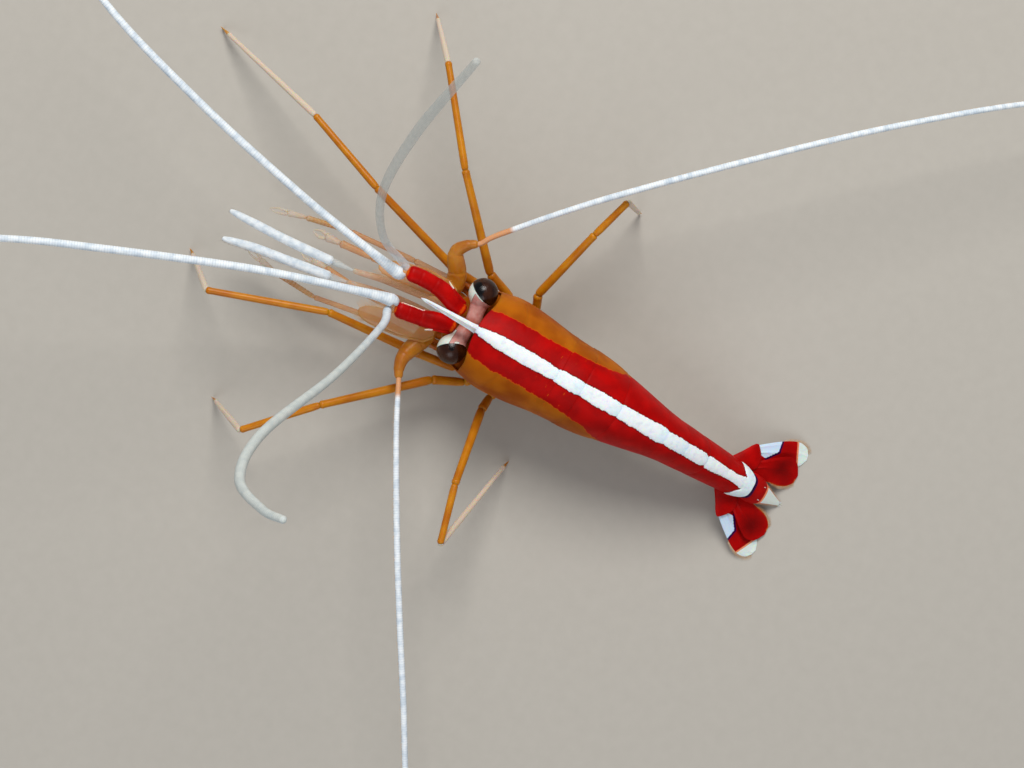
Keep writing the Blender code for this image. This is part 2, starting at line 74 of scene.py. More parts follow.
def add_camera():
    data = bpy.data.cameras.new("camera")
    data.lens = CAMERA_LENS
    data.sensor_width = 36.0
    data.clip_start = 0.005
    camera = bpy.data.objects.new("camera", data)
    turn = Matrix((IMAGE_RIGHT, IMAGE_UP, Vector((0, 0, 1)))).transposed().to_4x4()
    turn.translation = to_world(CAMERA_PLACE)
    camera.matrix_world = turn
    bpy.context.scene.collection.objects.link(camera)
    bpy.context.scene.camera = camera


def add_light(name, place, size, power, colour=(1.0, 1.0, 1.0)):
    data = bpy.data.lights.new(name, "AREA")
    data.shape = "DISK"
    data.size = size
    data.energy = power
    data.color = colour
    light = bpy.data.objects.new(name, data)
    light.location = place
    light.rotation_mode = "QUATERNION"
    light.rotation_quaternion = (-Vector(place)).to_track_quat("-Z", "Y")
    light.visible_camera = False
    bpy.context.scene.collection.objects.link(light)


def srgb(red, green, blue):
    """A colour given as 0 to 255 display values, as the linear numbers that a shader takes."""
    return tuple((value / 255) ** 2.2 for value in (red, green, blue))


def add_studio():
    scene = bpy.context.scene
    scene.view_settings.view_transform = "Standard"
    world = bpy.data.worlds.new("studio")
    world.use_nodes = True
    backdrop = world.node_tree.nodes["Background"]
    backdrop.inputs["Color"].default_value = (0.92, 0.95, 1.0, 1.0)
    backdrop.inputs["Strength"].default_value = 0.30
    scene.world = world
    add_light("key", (-0.28, -0.10, 0.42), 0.26, 2.1, (1.0, 0.98, 0.95))
    add_light("fill", (0.34, 0.10, 0.36), 0.34, 0.6, (0.93, 0.96, 1.0))
    shape = bmesh.new()
    bmesh.ops.create_grid(shape, x_segments=1, y_segments=1, size=2.0)
    mesh = bpy.data.meshes.new("floor")
    shape.to_mesh(mesh)
    shape.free()
    floor = bpy.data.objects.new("floor", mesh)
    scene.collection.objects.link(floor)
    paper = Finish("floor_paper", roughness=0.8, specular=0.2)
    grain = paper.noise(0.6, 4)
    mesh.materials.append(paper.done(paper.mix(grain, srgb(178, 173, 164), srgb(186, 181, 172))))


# ---------------------------------------------------------------- materials

class Finish:
    """A Principled material, put together from noise, per-vertex values and colour mixes."""

    def __init__(self, name, roughness=0.3, specular=0.3, subsurface=0.0, reach=(1.0, 0.4, 0.15),
                 transmission=0.0, coat=0.0):
        self.material = bpy.data.materials.new(name)
        self.material.use_nodes = True
        self.tree = self.material.node_tree
        self.shader = self.tree.nodes["Principled BSDF"]
        self.set("Roughness", roughness)
        self.set("Specular IOR Level", specular)
        self.set("Subsurface Weight", subsurface)
        self.set("Subsurface Radius", reach)
        self.set("Subsurface Scale", MM)
        self.set("Transmission Weight", transmission)
        self.set("Coat Weight", coat)
        self.set("Coat Roughness", 0.12)
        self.set("IOR", 1.45)
        place = self.tree.nodes.new("ShaderNodeTexCoord")
        scaled = self.tree.nodes.new("ShaderNodeVectorMath")
        scaled.operation = "SCALE"
        scaled.inputs["Scale"].default_value = 1 / MM
        self.tree.links.new(place.outputs["Object"], scaled.inputs[0])
        self.millimetres = scaled.outputs[0]

    def set(self, name, value):
        self.shader.inputs[name].default_value = value

    def feed(self, socket, source):
        """A number, a colour or another node's output goes into a socket."""
        if isinstance(source, bpy.types.NodeSocket):
            self.tree.links.new(source, socket)
        elif isinstance(source, tuple) and len(socket.default_value) == 4:
            socket.default_value = (*source, 1.0)
        else:
            socket.default_value = source

    def value(self, name):
        attribute = self.tree.nodes.new("ShaderNodeAttribute")
        attribute.attribute_name = name
        return attribute.outputs["Fac"]

    def noise(self, per_mm, detail=2, roughness=0.5, stretch=None, seed=0.0):
        """Noise from 0 to 1 with features 1 / per_mm millimetres wide."""
        texture = self.tree.nodes.new("ShaderNodeTexNoise")
        texture.noise_dimensions = "4D"
        texture.inputs["W"].default_value = seed
        texture.inputs["Scale"].default_value = per_mm
        texture.inputs["Detail"].default_value = detail
        texture.inputs["Roughness"].default_value = roughness
        source = self.millimetres
        if stretch:
            scaled = self.tree.nodes.new("ShaderNodeVectorMath")
            scaled.operation = "MULTIPLY"
            scaled.inputs[1].default_value = stretch
            self.tree.links.new(source, scaled.inputs[0])
            source = scaled.outputs[0]
        self.tree.links.new(source, texture.inputs["Vector"])
        return texture.outputs["Fac"]

    def cells(self, per_mm):
        """Distance from the middles of cells 1 / per_mm millimetres wide."""
        texture = self.tree.nodes.new("ShaderNodeTexVoronoi")
        texture.inputs["Scale"].default_value = per_mm
        self.tree.links.new(self.millimetres, texture.inputs["Vector"])
        return texture.outputs["Distance"]

    def math(self, operation, first, second=0.0):
        step = self.tree.nodes.new("ShaderNodeMath")
        step.operation = operation
        for socket, source in zip(step.inputs, (first, second)):
            self.feed(socket, source)
        return step.outputs[0]

    def plus(self, first, second):
        return self.math("ADD", first, second)

    def times(self, first, second):
        return self.math("MULTIPLY", first, second)

    def sway(self, source, strength):
        """A value from 0 to 1, carried to half the strength below and above nothing."""
        return self.times(self.math("SUBTRACT", source, 0.5), strength)

    def ramp(self, source, low, high, to_low=0.0, to_high=1.0):
        """A smooth step of a value from low to high."""
        step = self.tree.nodes.new("ShaderNodeMapRange")
        step.interpolation_type = "SMOOTHSTEP"
        for name, value in (("Value", source), ("From Min", low), ("From Max", high),
                            ("To Min", to_low), ("To Max", to_high)):
            self.feed(step.inputs[name], value)
        return step.outputs["Result"]

    def mix(self, share, first, second):
        blender = self.tree.nodes.new("ShaderNodeMix")
        blender.data_type = "RGBA"
        self.feed(blender.inputs["Factor"], share)
        self.feed(blender.inputs[6], first)
        self.feed(blender.inputs[7], second)
        return blender.outputs[2]

    def blend(self, first, second, source, low, high, to_low=0.0, to_high=1.0):
        """The first colour, which gives way to the second as a value goes from low to high."""
        return self.mix(self.ramp(source, low, high, to_low, to_high), first, second)

    def done(self, colour, height=None, depth=0.0):
        """The material with its colour on; a height of 1 stands depth millimetres proud of one of 0."""
        self.feed(self.shader.inputs["Base Color"], colour)
        if height:
            step = self.tree.nodes.new("ShaderNodeBump")
            step.inputs["Distance"].default_value = depth * MM
            step.inputs["Strength"].default_value = 1.0
            self.feed(step.inputs["Height"], height)
            self.feed(self.shader.inputs["Normal"], step.outputs["Normal"])
        return self.material


AMBER_LIGHT = srgb(182, 100, 14)
AMBER_DEEP = srgb(150, 72, 8)
AMBER_SHADE = srgb(130, 58, 8)
ORANGE_RIM = srgb(226, 92, 16)
SHELL_RED = srgb(184, 8, 4)
SHELL_RED_DEEP = srgb(160, 4, 3)
STRIPE_WHITE = srgb(242, 247, 250)
STRIPE_SHADE = srgb(222, 232, 238)
# painted shadow colour for the thin dark line just outside the white stripe's edges
STRIPE_EDGE_SHADOW = srgb(56, 0, 14)
LEG_AMBER = srgb(210, 138, 26)
LEG_PALE = srgb(222, 204, 184)
FEELER_WHITE = srgb(240, 246, 250)
FEELER_SHADE = srgb(206, 218, 228)
FEELER_HAZE = srgb(196, 202, 190)
FEELER_ROOT = srgb(214, 140, 70)
RING_GREY = srgb(150, 162, 178)
PEDUNCLE_RED = srgb(190, 12, 6)
MARK_PINK = srgb(250, 224, 210)
STALK_MAUVE = srgb(222, 168, 158)
STALK_DEEP = srgb(202, 136, 128)
STALK_BROWN = srgb(158, 60, 24)
EYE_WHITE = srgb(228, 238, 226)
EYE_WHITE_RIM = srgb(96, 104, 96)
EYE_BROWN = srgb(62, 34, 19)
EYE_BROWN_DEEP = srgb(38, 16, 9)
EYE_BLACK = srgb(8, 7, 10)
TAIL_RED_DARK = srgb(84, 0, 1)
# The tail fan's marks in the order they are laid on: value, colour, where it begins and is full, and
# how ragged its edge is.
TAIL_MARKS = (
    ("clear", srgb(190, 74, 22), 0.35, 0.65, 1.0),
    ("clear", srgb(196, 150, 112), 0.65, 0.95, 1.0),
    # violet: on the telson a painted shadow behind the last somite's rear edge, on the outer blades the blue
    # patch's dark rear edge
    ("violet", srgb(52, 8, 64), 0.4, 0.7, 1.0),
    ("rim", srgb(240, 140, 100), 0.5, 0.75, 1.0),
    ("blue", srgb(206, 226, 246), 0.45, 0.55, 0.5),
    ("white", srgb(222, 230, 222), 0.45, 0.55, 0.5),
)


def make_shell_finish():
    """Amber shell, red band and white stripe.

    The values band and stripe are distances in millimetres from their edges, negative inside.
    """
    finish = Finish("shell", roughness=0.5, specular=0.09, subsurface=0.3, reach=(1.2, 0.35, 0.1))
    fine = finish.noise(2.2, 5, 0.6, seed=3.0)
    grain = finish.noise(9.0, 3, seed=5.0)
    streaks = finish.noise(3.4, 3, stretch=(0.3, 1.0, 0.3), seed=12.0)
    amber = finish.blend(AMBER_DEEP, AMBER_LIGHT, finish.noise(0.25, 2), 0.35, 0.65)
    amber = finish.blend(amber, AMBER_SHADE, fine, 0.6, 0.8, 0.0, 0.18)
    red = finish.blend(SHELL_RED_DEEP, SHELL_RED, finish.noise(0.5, 2, seed=8.0), 0.35, 0.7)
    ragged = finish.plus(finish.value("band"), finish.sway(fine, 0.5))
    ragged = finish.plus(ragged, finish.sway(streaks, 0.45))
    colour = finish.blend(red, amber, ragged, -0.06, 0.05)
    colour = finish.blend(colour, ORANGE_RIM, finish.math("ABSOLUTE", ragged), 0.0, 0.11, 0.55, 0.0)
    spark = finish.times(finish.ramp(streaks, 0.63, 0.72), finish.ramp(grain, 0.42, 0.55))
    spark = finish.times(spark, finish.ramp(finish.value("spark"), 0.2, 1.0))
    colour = finish.mix(spark, colour, ORANGE_RIM)
    edge = finish.plus(finish.value("stripe"), finish.sway(grain, 0.14))
    # Painted shadow: a thin dark line just outside the white stripe's edges, where the raised stripe shades
    # the shell.
    rim = finish.times(finish.ramp(edge, -0.02, 0.05), finish.ramp(edge, 0.2, 0.05))
    colour = finish.mix(finish.times(rim, 0.6), colour, STRIPE_EDGE_SHADOW)
    white = finish.blend(STRIPE_WHITE, STRIPE_SHADE, finish.noise(1.6, 4, seed=21.0), 0.45, 0.8)
    colour = finish.blend(colour, white, edge, 0.03, -0.03)
    finish.feed(finish.shader.inputs["Roughness"], finish.ramp(fine, 0.2, 0.8, 0.44, 0.56))
    return finish.done(colour, finish.noise(6.0, 4, seed=30.0), 0.010)


def make_amber_finish(name, light, deep, pale=None, alpha=1.0):
    """Translucent amber skin; where the value pale nears 1 it turns to the pale colour."""
    finish = Finish(name, roughness=0.32, specular=0.25, subsurface=0.45, reach=(0.9, 0.4, 0.12),
                    transmission=0.12)
    finish.set("Alpha", alpha)
    colour = finish.blend(deep, light, finish.noise(0.35, 3), 0.3, 0.7)
    colour = finish.blend(colour, ORANGE_RIM, finish.noise(5.0, 3, seed=4.0), 0.66, 0.74, 0.0, 0.35)
    if pale:
        share = finish.plus(finish.value("pale"), finish.sway(finish.noise(1.5, 3, seed=6.0), 0.5))
        colour = finish.blend(colour, pale, share, 0.25, 0.75)
    return finish.done(colour, finish.noise(9.0, 3, seed=9.0), 0.012)


def make_feeler_finish(name, alpha=1.0):
    """White rings; the values haze and amber turn the feeler grey-green and amber."""
    finish = Finish(name, roughness=0.45, specular=0.2, subsurface=0.25, reach=(0.4, 0.45, 0.5))
    finish.set("Alpha", alpha)
    colour = finish.blend(FEELER_WHITE, FEELER_SHADE, finish.noise(1.1, 4), 0.35, 0.7)
    colour = finish.mix(finish.value("haze"), colour, FEELER_HAZE)
    colour = finish.mix(finish.value("amber"), colour, FEELER_ROOT)
    colour = finish.blend(colour, RING_GREY, finish.value("ring"), 0.6, 1.0, 0.0, 0.26)
    return finish.done(colour, finish.noise(7.0, 3, seed=2.0), 0.012)


def make_peduncle_finish():
    """Bright red with thin orange rims, and a few pinkish-white marks."""
    finish = Finish("peduncle", roughness=0.45, specular=0.12, subsurface=0.35, reach=(1.0, 0.3, 0.1))
    colour = finish.blend(SHELL_RED_DEEP, PEDUNCLE_RED, finish.noise(0.5, 2), 0.35, 0.7)
    rim = finish.plus(finish.value("rim"), finish.sway(finish.noise(3.0, 3), 0.5))
    colour = finish.blend(colour, ORANGE_RIM, rim, 0.55, 0.95)
    mark = finish.plus(finish.value("mark"), finish.sway(finish.noise(4.0, 3, seed=7.0), 0.9))
    colour = finish.blend(colour, MARK_PINK, mark, 0.5, 0.62)
    return finish.done(colour, finish.noise(7.0, 3, seed=9.0), 0.014)


def make_stalk_finish():
    """Pink skin, brown near the head, with white fields edged in dark grey."""
    finish = Finish("eyestalk", roughness=0.34, specular=0.25, subsurface=0.5, reach=(1.0, 0.6, 0.5),
                    transmission=0.08)
    colour = finish.blend(STALK_DEEP, STALK_MAUVE, finish.noise(1.3, 4), 0.35, 0.7)
    colour = finish.mix(finish.value("amber"), colour, STALK_BROWN)
    white = finish.plus(finish.value("white"), finish.sway(finish.noise(4.5, 3, seed=5.0), 0.25))
    colour = finish.blend(colour, EYE_WHITE_RIM, white, 0.30, 0.46, 0.0, 0.8)
    colour = finish.blend(colour, EYE_WHITE, white, 0.44, 0.56)
    return finish.done(colour, finish.noise(7.0, 3, seed=9.0), 0.010)


def make_eye_finish():
    """A faceted brown eye with black patches on its upper side."""
    finish = Finish("eye", roughness=0.2, specular=0.3, coat=0.12)
    brown = finish.blend(EYE_BROWN_DEEP, EYE_BROWN, finish.noise(0.7, 3), 0.3, 0.7)
    dark = finish.plus(finish.value("dark"), finish.sway(finish.noise(3.2, 3, seed=5.0), 0.3))
    colour = finish.blend(brown, EYE_BLACK, dark, 0.3, 0.75)
    return finish.done(colour, finish.ramp(finish.cells(11.0), 0.0, 0.6, 1.0, 0.0), 0.008)


def make_tail_finish():
    """Red blades with white marks.

    Values: blue and white are shares of white pigment at the base and at the tip, the left blade's blue
    patch painted dimmer as painted shade; clear is how far the blade has lost its red; violet is a dark
    line, on the telson a painted shadow behind the last somite's rear edge and on the outer blades the
    blue patch's dark rear edge; rim is the marks' orange edges; deep is a darker red.
    """
    finish = Finish("tail_fan", roughness=0.48, specular=0.1, subsurface=0.3, reach=(0.8, 0.25, 0.1))
    unrest = finish.sway(finish.noise(2.6, 4), 0.30)
    colour = finish.blend(SHELL_RED_DEEP, SHELL_RED, finish.noise(0.5, 2, seed=2.0), 0.35, 0.7)
    colour = finish.mix(finish.value("deep"), colour, TAIL_RED_DARK)
    for name, tint, low, high, raggedness in TAIL_MARKS:
        share = finish.plus(finish.value(name), finish.times(unrest, raggedness))
        colour = finish.blend(colour, tint, share, low, high)
    return finish.done(colour, finish.noise(5.0, 4, seed=9.0), 0.010)


def make_bristle_finish(name, colour, tip):
    finish = Finish(name, roughness=0.45, specular=0.3, subsurface=0.2)
    return finish.done(finish.blend(colour, tip, finish.noise(0.8, 3), 0.3, 0.7))


# ---------------------------------------------------------------- meshes

SHARP_FROM = math.radians(50)       # an edge turning more than this is drawn sharp


class Shape:
    """Vertices, faces and per-vertex values of one piece."""

    def __init__(self, *value_names):
        self.points = []
        self.faces = []
        self.count = 0
        self.values = {name: [] for name in value_names}
        self.spots = []

    def add(self, points, faces, values):
        points = np.asarray(points, float).reshape(-1, 3)
        self.points.append(points)
        self.faces.extend(tuple(int(index) + self.count for index in face) for face in faces)
        for name, stored in self.values.items():
            value = np.asarray(values.get(name, 0.0), float).ravel()
            stored.append(np.broadcast_to(value, (len(points),)))
        self.count += len(points)

    def grid(self, rows, **values):
        """Quads over a grid of points, rows by columns, closed round the columns and at its ends."""
        rows = np.asarray(rows, float)
        high, wide = rows.shape[:2]
        faces = []
        for row in range(high - 1):
            for column in range(wide):
                following = (column + 1) % wide
                faces.append((row * wide + column, row * wide + following,
                              (row + 1) * wide + following, (row + 1) * wide + column))
        points = rows.reshape(-1, 3)
        full = {name: np.broadcast_to(np.asarray(value, float), (high, wide)).ravel()
                for name, value in values.items()}
        for row in (0, high - 1):
            middle = len(points)
            points = np.vstack((points, rows[row].mean(axis=0)))
            full = {name: np.append(value, value[row * wide:(row + 1) * wide].mean())
                    for name, value in full.items()}
            faces.extend((row * wide + column, row * wide + (column + 1) % wide, middle)
                         for column in range(wide))
        self.add(points, faces, full)

    def finish(self, name, material, slot, *nodes):
        """The shape becomes a piece of the animal that stands for the named CAD nodes."""
        mesh = bpy.data.meshes.new(name)
        points = (np.vstack(self.points) + np.array(SHIFT)) * MM
        mesh.from_pydata(points.tolist(), [], self.faces)
        shape = bmesh.new()
        shape.from_mesh(mesh)
        bmesh.ops.recalc_face_normals(shape, faces=shape.faces)
        shape.to_mesh(mesh)
        shape.free()
        for value_name, stored in self.values.items():
            attribute = mesh.attributes.new(value_name, "FLOAT", "POINT")
            attribute.data.foreach_set("value", np.concatenate(stored).astype(np.float32))
        if self.spots:
            layer = mesh.uv_layers.new(name="OFBake")
            corners = np.zeros(len(mesh.loops), np.int32)
            mesh.loops.foreach_get("vertex_index", corners)
            layer.data.foreach_set("uv", np.vstack(self.spots)[corners].astype(np.float32).ravel())
        mesh.materials.append(material)
        mesh.shade_smooth()
        mesh.set_sharp_from_angle(angle=SHARP_FROM)
        piece = bpy.data.objects.new(name, mesh)
        bpy.context.scene.collection.objects.link(piece)
        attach(piece, "root")
        if nodes:
            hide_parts(*nodes)
        return piece


def wander(points, per_mm, seed=0.0):
    """Smooth noise from -1 to 1 at each point, with features 1 / per_mm millimetres wide."""
    offset = Vector((seed * 13.7, seed * 7.1, seed * 3.3))
    flat = np.asarray(points, float).reshape(-1, 3) * per_mm
    found = [noise.noise(Vector(point) + offset) for point in flat]
    return np.array(found).reshape(np.shape(points)[:-1])


def smoothstep(value, low, high):
    share = np.clip((np.asarray(value, float) - low) / (high - low), 0.0, 1.0)
    return share * share * (3 - 2 * share)


def hump(value, middle, width):
    return np.exp(-((np.asarray(value, float) - middle) / width) ** 2)


def mirrored(point, side):
    return np.array([point[0] if side == "left" else -point[0], point[1], point[2]], float)


def smooth_route(points, spacing):
    """Points about spacing millimetres apart along a Catmull-Rom curve through the given ones."""
    knots = np.asarray(points, float)
    knots = np.vstack((2 * knots[0] - knots[1], knots, 2 * knots[-1] - knots[-2]))
    dense = []
    for span in range(len(points) - 1):
        a, b, c, d = knots[span:span + 4]
        t = np.linspace(0, 1, 60, endpoint=False)[:, None]
        dense.append(0.5 * (2 * b + (c - a) * t + (2 * a - 5 * b + 4 * c - d) * t ** 2
                            + (3 * b - a - 3 * c + d) * t ** 3))
    dense = np.vstack(dense + [knots[-2:-1]])
    reach = np.append(0, np.cumsum(np.linalg.norm(np.diff(dense, axis=0), axis=1)))
    count = max(int(round(reach[-1] / spacing)), 4)
    places = np.linspace(0, reach[-1], count + 1)
    return np.stack([np.interp(places, reach, dense[:, axis]) for axis in range(3)], axis=1)


def spread(values, samples):
    return np.interp(np.linspace(0, 1, samples), np.linspace(0, 1, len(values)), values)


def unit(vectors):
    vectors = np.asarray(vectors, float)
    return vectors / np.maximum(np.linalg.norm(vectors, axis=-1, keepdims=True), 1e-9)


def cross_directions(route, up):
    """Side and upward directions along a route, square to it, upward nearest to up."""
    along = unit(np.gradient(route, axis=0))
    side = unit(np.cross(along, np.broadcast_to(np.asarray(up, float), along.shape)))
    return side, np.cross(side, along)


def tube(shape, route, half_widths, half_heights=None, up=(0, 0, 1), sides=14, power=2.0, round_ends=True,
         **values):
    """A tube or blade along a route, with its own half width and half height at each point."""
    route = np.asarray(route, float)
    half_widths = np.asarray(half_widths, float)
    half_heights = half_widths if half_heights is None else np.asarray(half_heights, float)
    side, rise = cross_directions(route, up)
    angles = 2 * np.pi * np.arange(sides) / sides
    across = np.sign(np.cos(angles)) * np.abs(np.cos(angles)) ** (2 / power)
    upward = np.sign(np.sin(angles)) * np.abs(np.sin(angles)) ** (2 / power)
    if round_ends:
        reach = np.append(0, np.cumsum(np.linalg.norm(np.diff(route, axis=0), axis=1)))
        for place, size in ((reach, half_heights[0]), (reach[-1] - reach, half_heights[-1])):
            inside = np.clip(place / max(size, 1e-6), 0.0, 1.0)
            taper = np.sqrt(np.maximum(1 - (1 - inside) ** 2, 0.02))
            half_widths = half_widths * taper
            half_heights = half_heights * taper
    rows = (route[:, None] + side[:, None] * half_widths[:, None, None] * across[None, :, None]
            + rise[:, None] * half_heights[:, None, None] * upward[None, :, None])
    full = {}
    for name, value in values.items():
        value = np.asarray(value, float)
        full[name] = value[:, None] if value.ndim == 1 and len(value) == len(route) else value
    shape.grid(rows, **full)
    return rows


# ---------------------------------------------------------------- the body's surface

# y along the midline, height of the back, half width, depth from the back to the belly.
BODY_STATIONS = (
    (6.9, 18.9, 5.45, 10.9),
    (8.3, 19.1, 5.90, 11.5),
    (11.2, 19.3, 6.40, 12.1),
    (14.8, 19.1, 6.20, 12.0),
    (19.2, 18.6, 5.60, 11.2),
    (22.6, 18.4, 5.35, 10.9),
    (28.0, 17.5, 4.80, 10.4),
    (34.9, 15.3, 3.55, 8.9),
    (38.1, 13.6, 3.10, 7.9),
    (41.4, 11.4, 2.85, 6.5),
    (48.5, 6.2, 2.25, 4.1),
)
CARAPACE_FRONT = 6.9
CARAPACE_REAR = 19.2
SOMITE_ENDS = (22.6, 28.0, 34.9, 38.1, 41.4, 48.5)
WAIST = 0.62                # how far down the widest line lies, as a share of the depth
BELLY_ARCH = 0.9            # how far the belly is hollowed
ARCH_SHARE = 0.8            # the hollow's half width, as a share of the body's
EDGE_ANGLE = -0.87          # where a plate's lower edge lies round the section, in radians
BACK_CROWDING = 2.2         # how much closer together a plate's points lie on the back
PLATE_TUCK = 1.0            # how far a plate's inner face reaches in from its edges


def body_values(y):
    """Height of the back, half width and depth of the body at y, from a cubic through the stations."""
    rows = BODY_STATIONS
    first = 0
    while first < len(rows) - 2 and y > rows[first + 1][0]:
        first += 1
    before = rows[max(first - 1, 0)]
    low = rows[first]
    high = rows[first + 1]
    after = rows[min(first + 2, len(rows) - 1)]
    span = high[0] - low[0]
    t = (y - low[0]) / span
    values = []
    for column in (1, 2, 3):
        slope_low = (high[column] - before[column]) / (high[0] - before[0])
        slope_high = (after[column] - low[column]) / (after[0] - low[0])
        values.append(
            low[column] * (2 * t ** 3 - 3 * t ** 2 + 1) + high[column] * (3 * t ** 2 - 2 * t ** 3)
            + span * slope_low * (t ** 3 - 2 * t ** 2 + t) + span * slope_high * (t ** 3 - t ** 2))
    return values


BODY_Y = np.arange(5.0, 50.0, 0.05)
BODY_TABLE = np.array([body_values(y) for y in BODY_Y])
BODY_LEAN = np.clip((BODY_Y - CARAPACE_REAR) / (SOMITE_ENDS[1] - CARAPACE_REAR), 0, 1)
BODY_SLOPE = np.gradient(BODY_TABLE[:, 0], BODY_Y) * BODY_LEAN


def section(y, angle, proud=0.0, lobe=0.0):
    """Points of the body's surface at y and at an angle round it, a quarter turn being the back.

    proud lifts the surface, and lobe lowers the sides' lower edges.
    """
    given = (np.asarray(value, float) for value in (y, angle, proud, lobe))
    y, angle, proud, lobe = np.broadcast_arrays(*given)
    back, half_width, depth = (np.interp(y, BODY_Y, BODY_TABLE[:, column]) for column in range(3))
    slope = np.interp(y, BODY_Y, BODY_SLOPE)
    length = np.sqrt(1 + slope ** 2)
    up_y = -slope / length
    up_z = 1 / length
    across = np.cos(angle)
    along = np.sin(angle)
    power = np.where(along > 0, 2.15, 3.2)
    x = np.sign(across) * np.abs(across) ** (2 / power)
    z = np.sign(along) * np.abs(along) ** (2 / power)
    reach = np.where(along > 0, depth * WAIST, depth * (1 - WAIST) + lobe) + proud
    hollow = np.where(along < 0, (BELLY_ARCH + lobe) * np.maximum(0, 1 - (x / ARCH_SHARE) ** 2), 0)
    height = reach * z + hollow - depth * WAIST
    return np.stack(((half_width + proud) * x, y + up_y * height, back + up_z * height), axis=-1)


def plate_angles(count):
    """Angles from the left lower edge over the back to the right one, closer together on the back."""
    fine = np.linspace(EDGE_ANGLE, math.pi - EDGE_ANGLE, 2000)
    weight = 1 + BACK_CROWDING * hump(fine, math.pi / 2, 0.32)
    place = np.cumsum(weight)
    place = (place - place[0]) / (place[-1] - place[0])
    return np.interp(np.linspace(0, 1, count), place, fine)


# Half width of the white stripe along the midline: place, half width. Each plate's block has its own.
STRIPE_BLOCKS = {
    0: ((6.0, 0.34), (8.0, 0.46), (9.4, 0.68), (11.2, 0.88), (14.5, 0.94), (17.6, 0.88), (18.8, 0.78),
        (19.3, 0.62), (19.5, -0.2)),
    1: ((19.2, 0.80), (19.9, 0.90), (21.5, 0.94), (22.8, 0.88)),
    2: ((22.6, 0.84), (25.5, 0.98), (27.4, 0.94), (28.3, 0.86)),
    3: ((28.0, 0.86), (30.0, 1.0), (31.4, 0.92), (33.6, 1.10), (34.6, 1.06), (35.2, 0.9)),
    4: ((34.9, 0.82), (36.5, 0.96), (38.4, 0.84)),
    5: ((38.1, 0.80), (39.6, 0.92), (41.0, 0.86), (41.4, 0.66), (41.6, -0.1)),
    6: ((41.4, 0.66), (41.8, 0.84), (43.2, 0.78), (44.8, 0.62), (46.3, 0.60), (47.5, 0.8)),
}
# How far down each side the red band reaches: place, share of the way to the widest line.
BAND_REACH = ((6.0, 0.30), (9.0, 0.33), (15.0, 0.36), (20.0, 0.42), (25.5, 0.55), (28.5, 0.78),
              (31.5, 1.05), (36.0, 1.16), (41.0, 1.24), (46.0, 1.5), (50.0, 1.6))
STRIPE_RISE = 0.13          # how far the stripe's middle stands proud
STRIPE_STEP = 0.03          # and its edge
TAIL_END = 49.0             # the rear edge of the last somite on the midline
TAIL_END_CURVE = 0.093      # how its sides fall back: times the fourth power of x
# The white anchor's front edge: distance from the midline, place.
ANCHOR_FRONT = ((0.0, 47.9), (0.96, 47.6), (1.32, 47.2), (1.96, 46.7), (2.3, 46.3), (2.6, 46.6))


def markings(points, y, angle, block):
    """Distances from the edges of the white stripe and of the red band, negative inside them."""
    places, widths = zip(*STRIPE_BLOCKS[block])
    x = points[..., 0]
    scallop = 0.08 * wander(points, 1.9, 1.0) + 0.08 * wander(points, 5.0, 2.0)
    stripe = np.abs(x) - np.interp(y, places, widths) - scallop
    if block == 6:
        out, front = zip(*ANCHOR_FRONT)
        horn = np.maximum(np.interp(np.abs(x), out, front) - points[..., 1], np.abs(x) - 2.35)
        stripe = np.minimum(stripe, horn + 0.5 * scallop)
    places, shares = zip(*BAND_REACH)
    down = np.abs(angle - math.pi / 2) / (math.pi / 2)
    half_width = np.interp(y, BODY_Y, BODY_TABLE[:, 1])
    band = (down - np.interp(y, places, shares)) * half_width * 1.5
    band = band + 0.22 * wander(points, 1.1, 4.0)
    return stripe, band


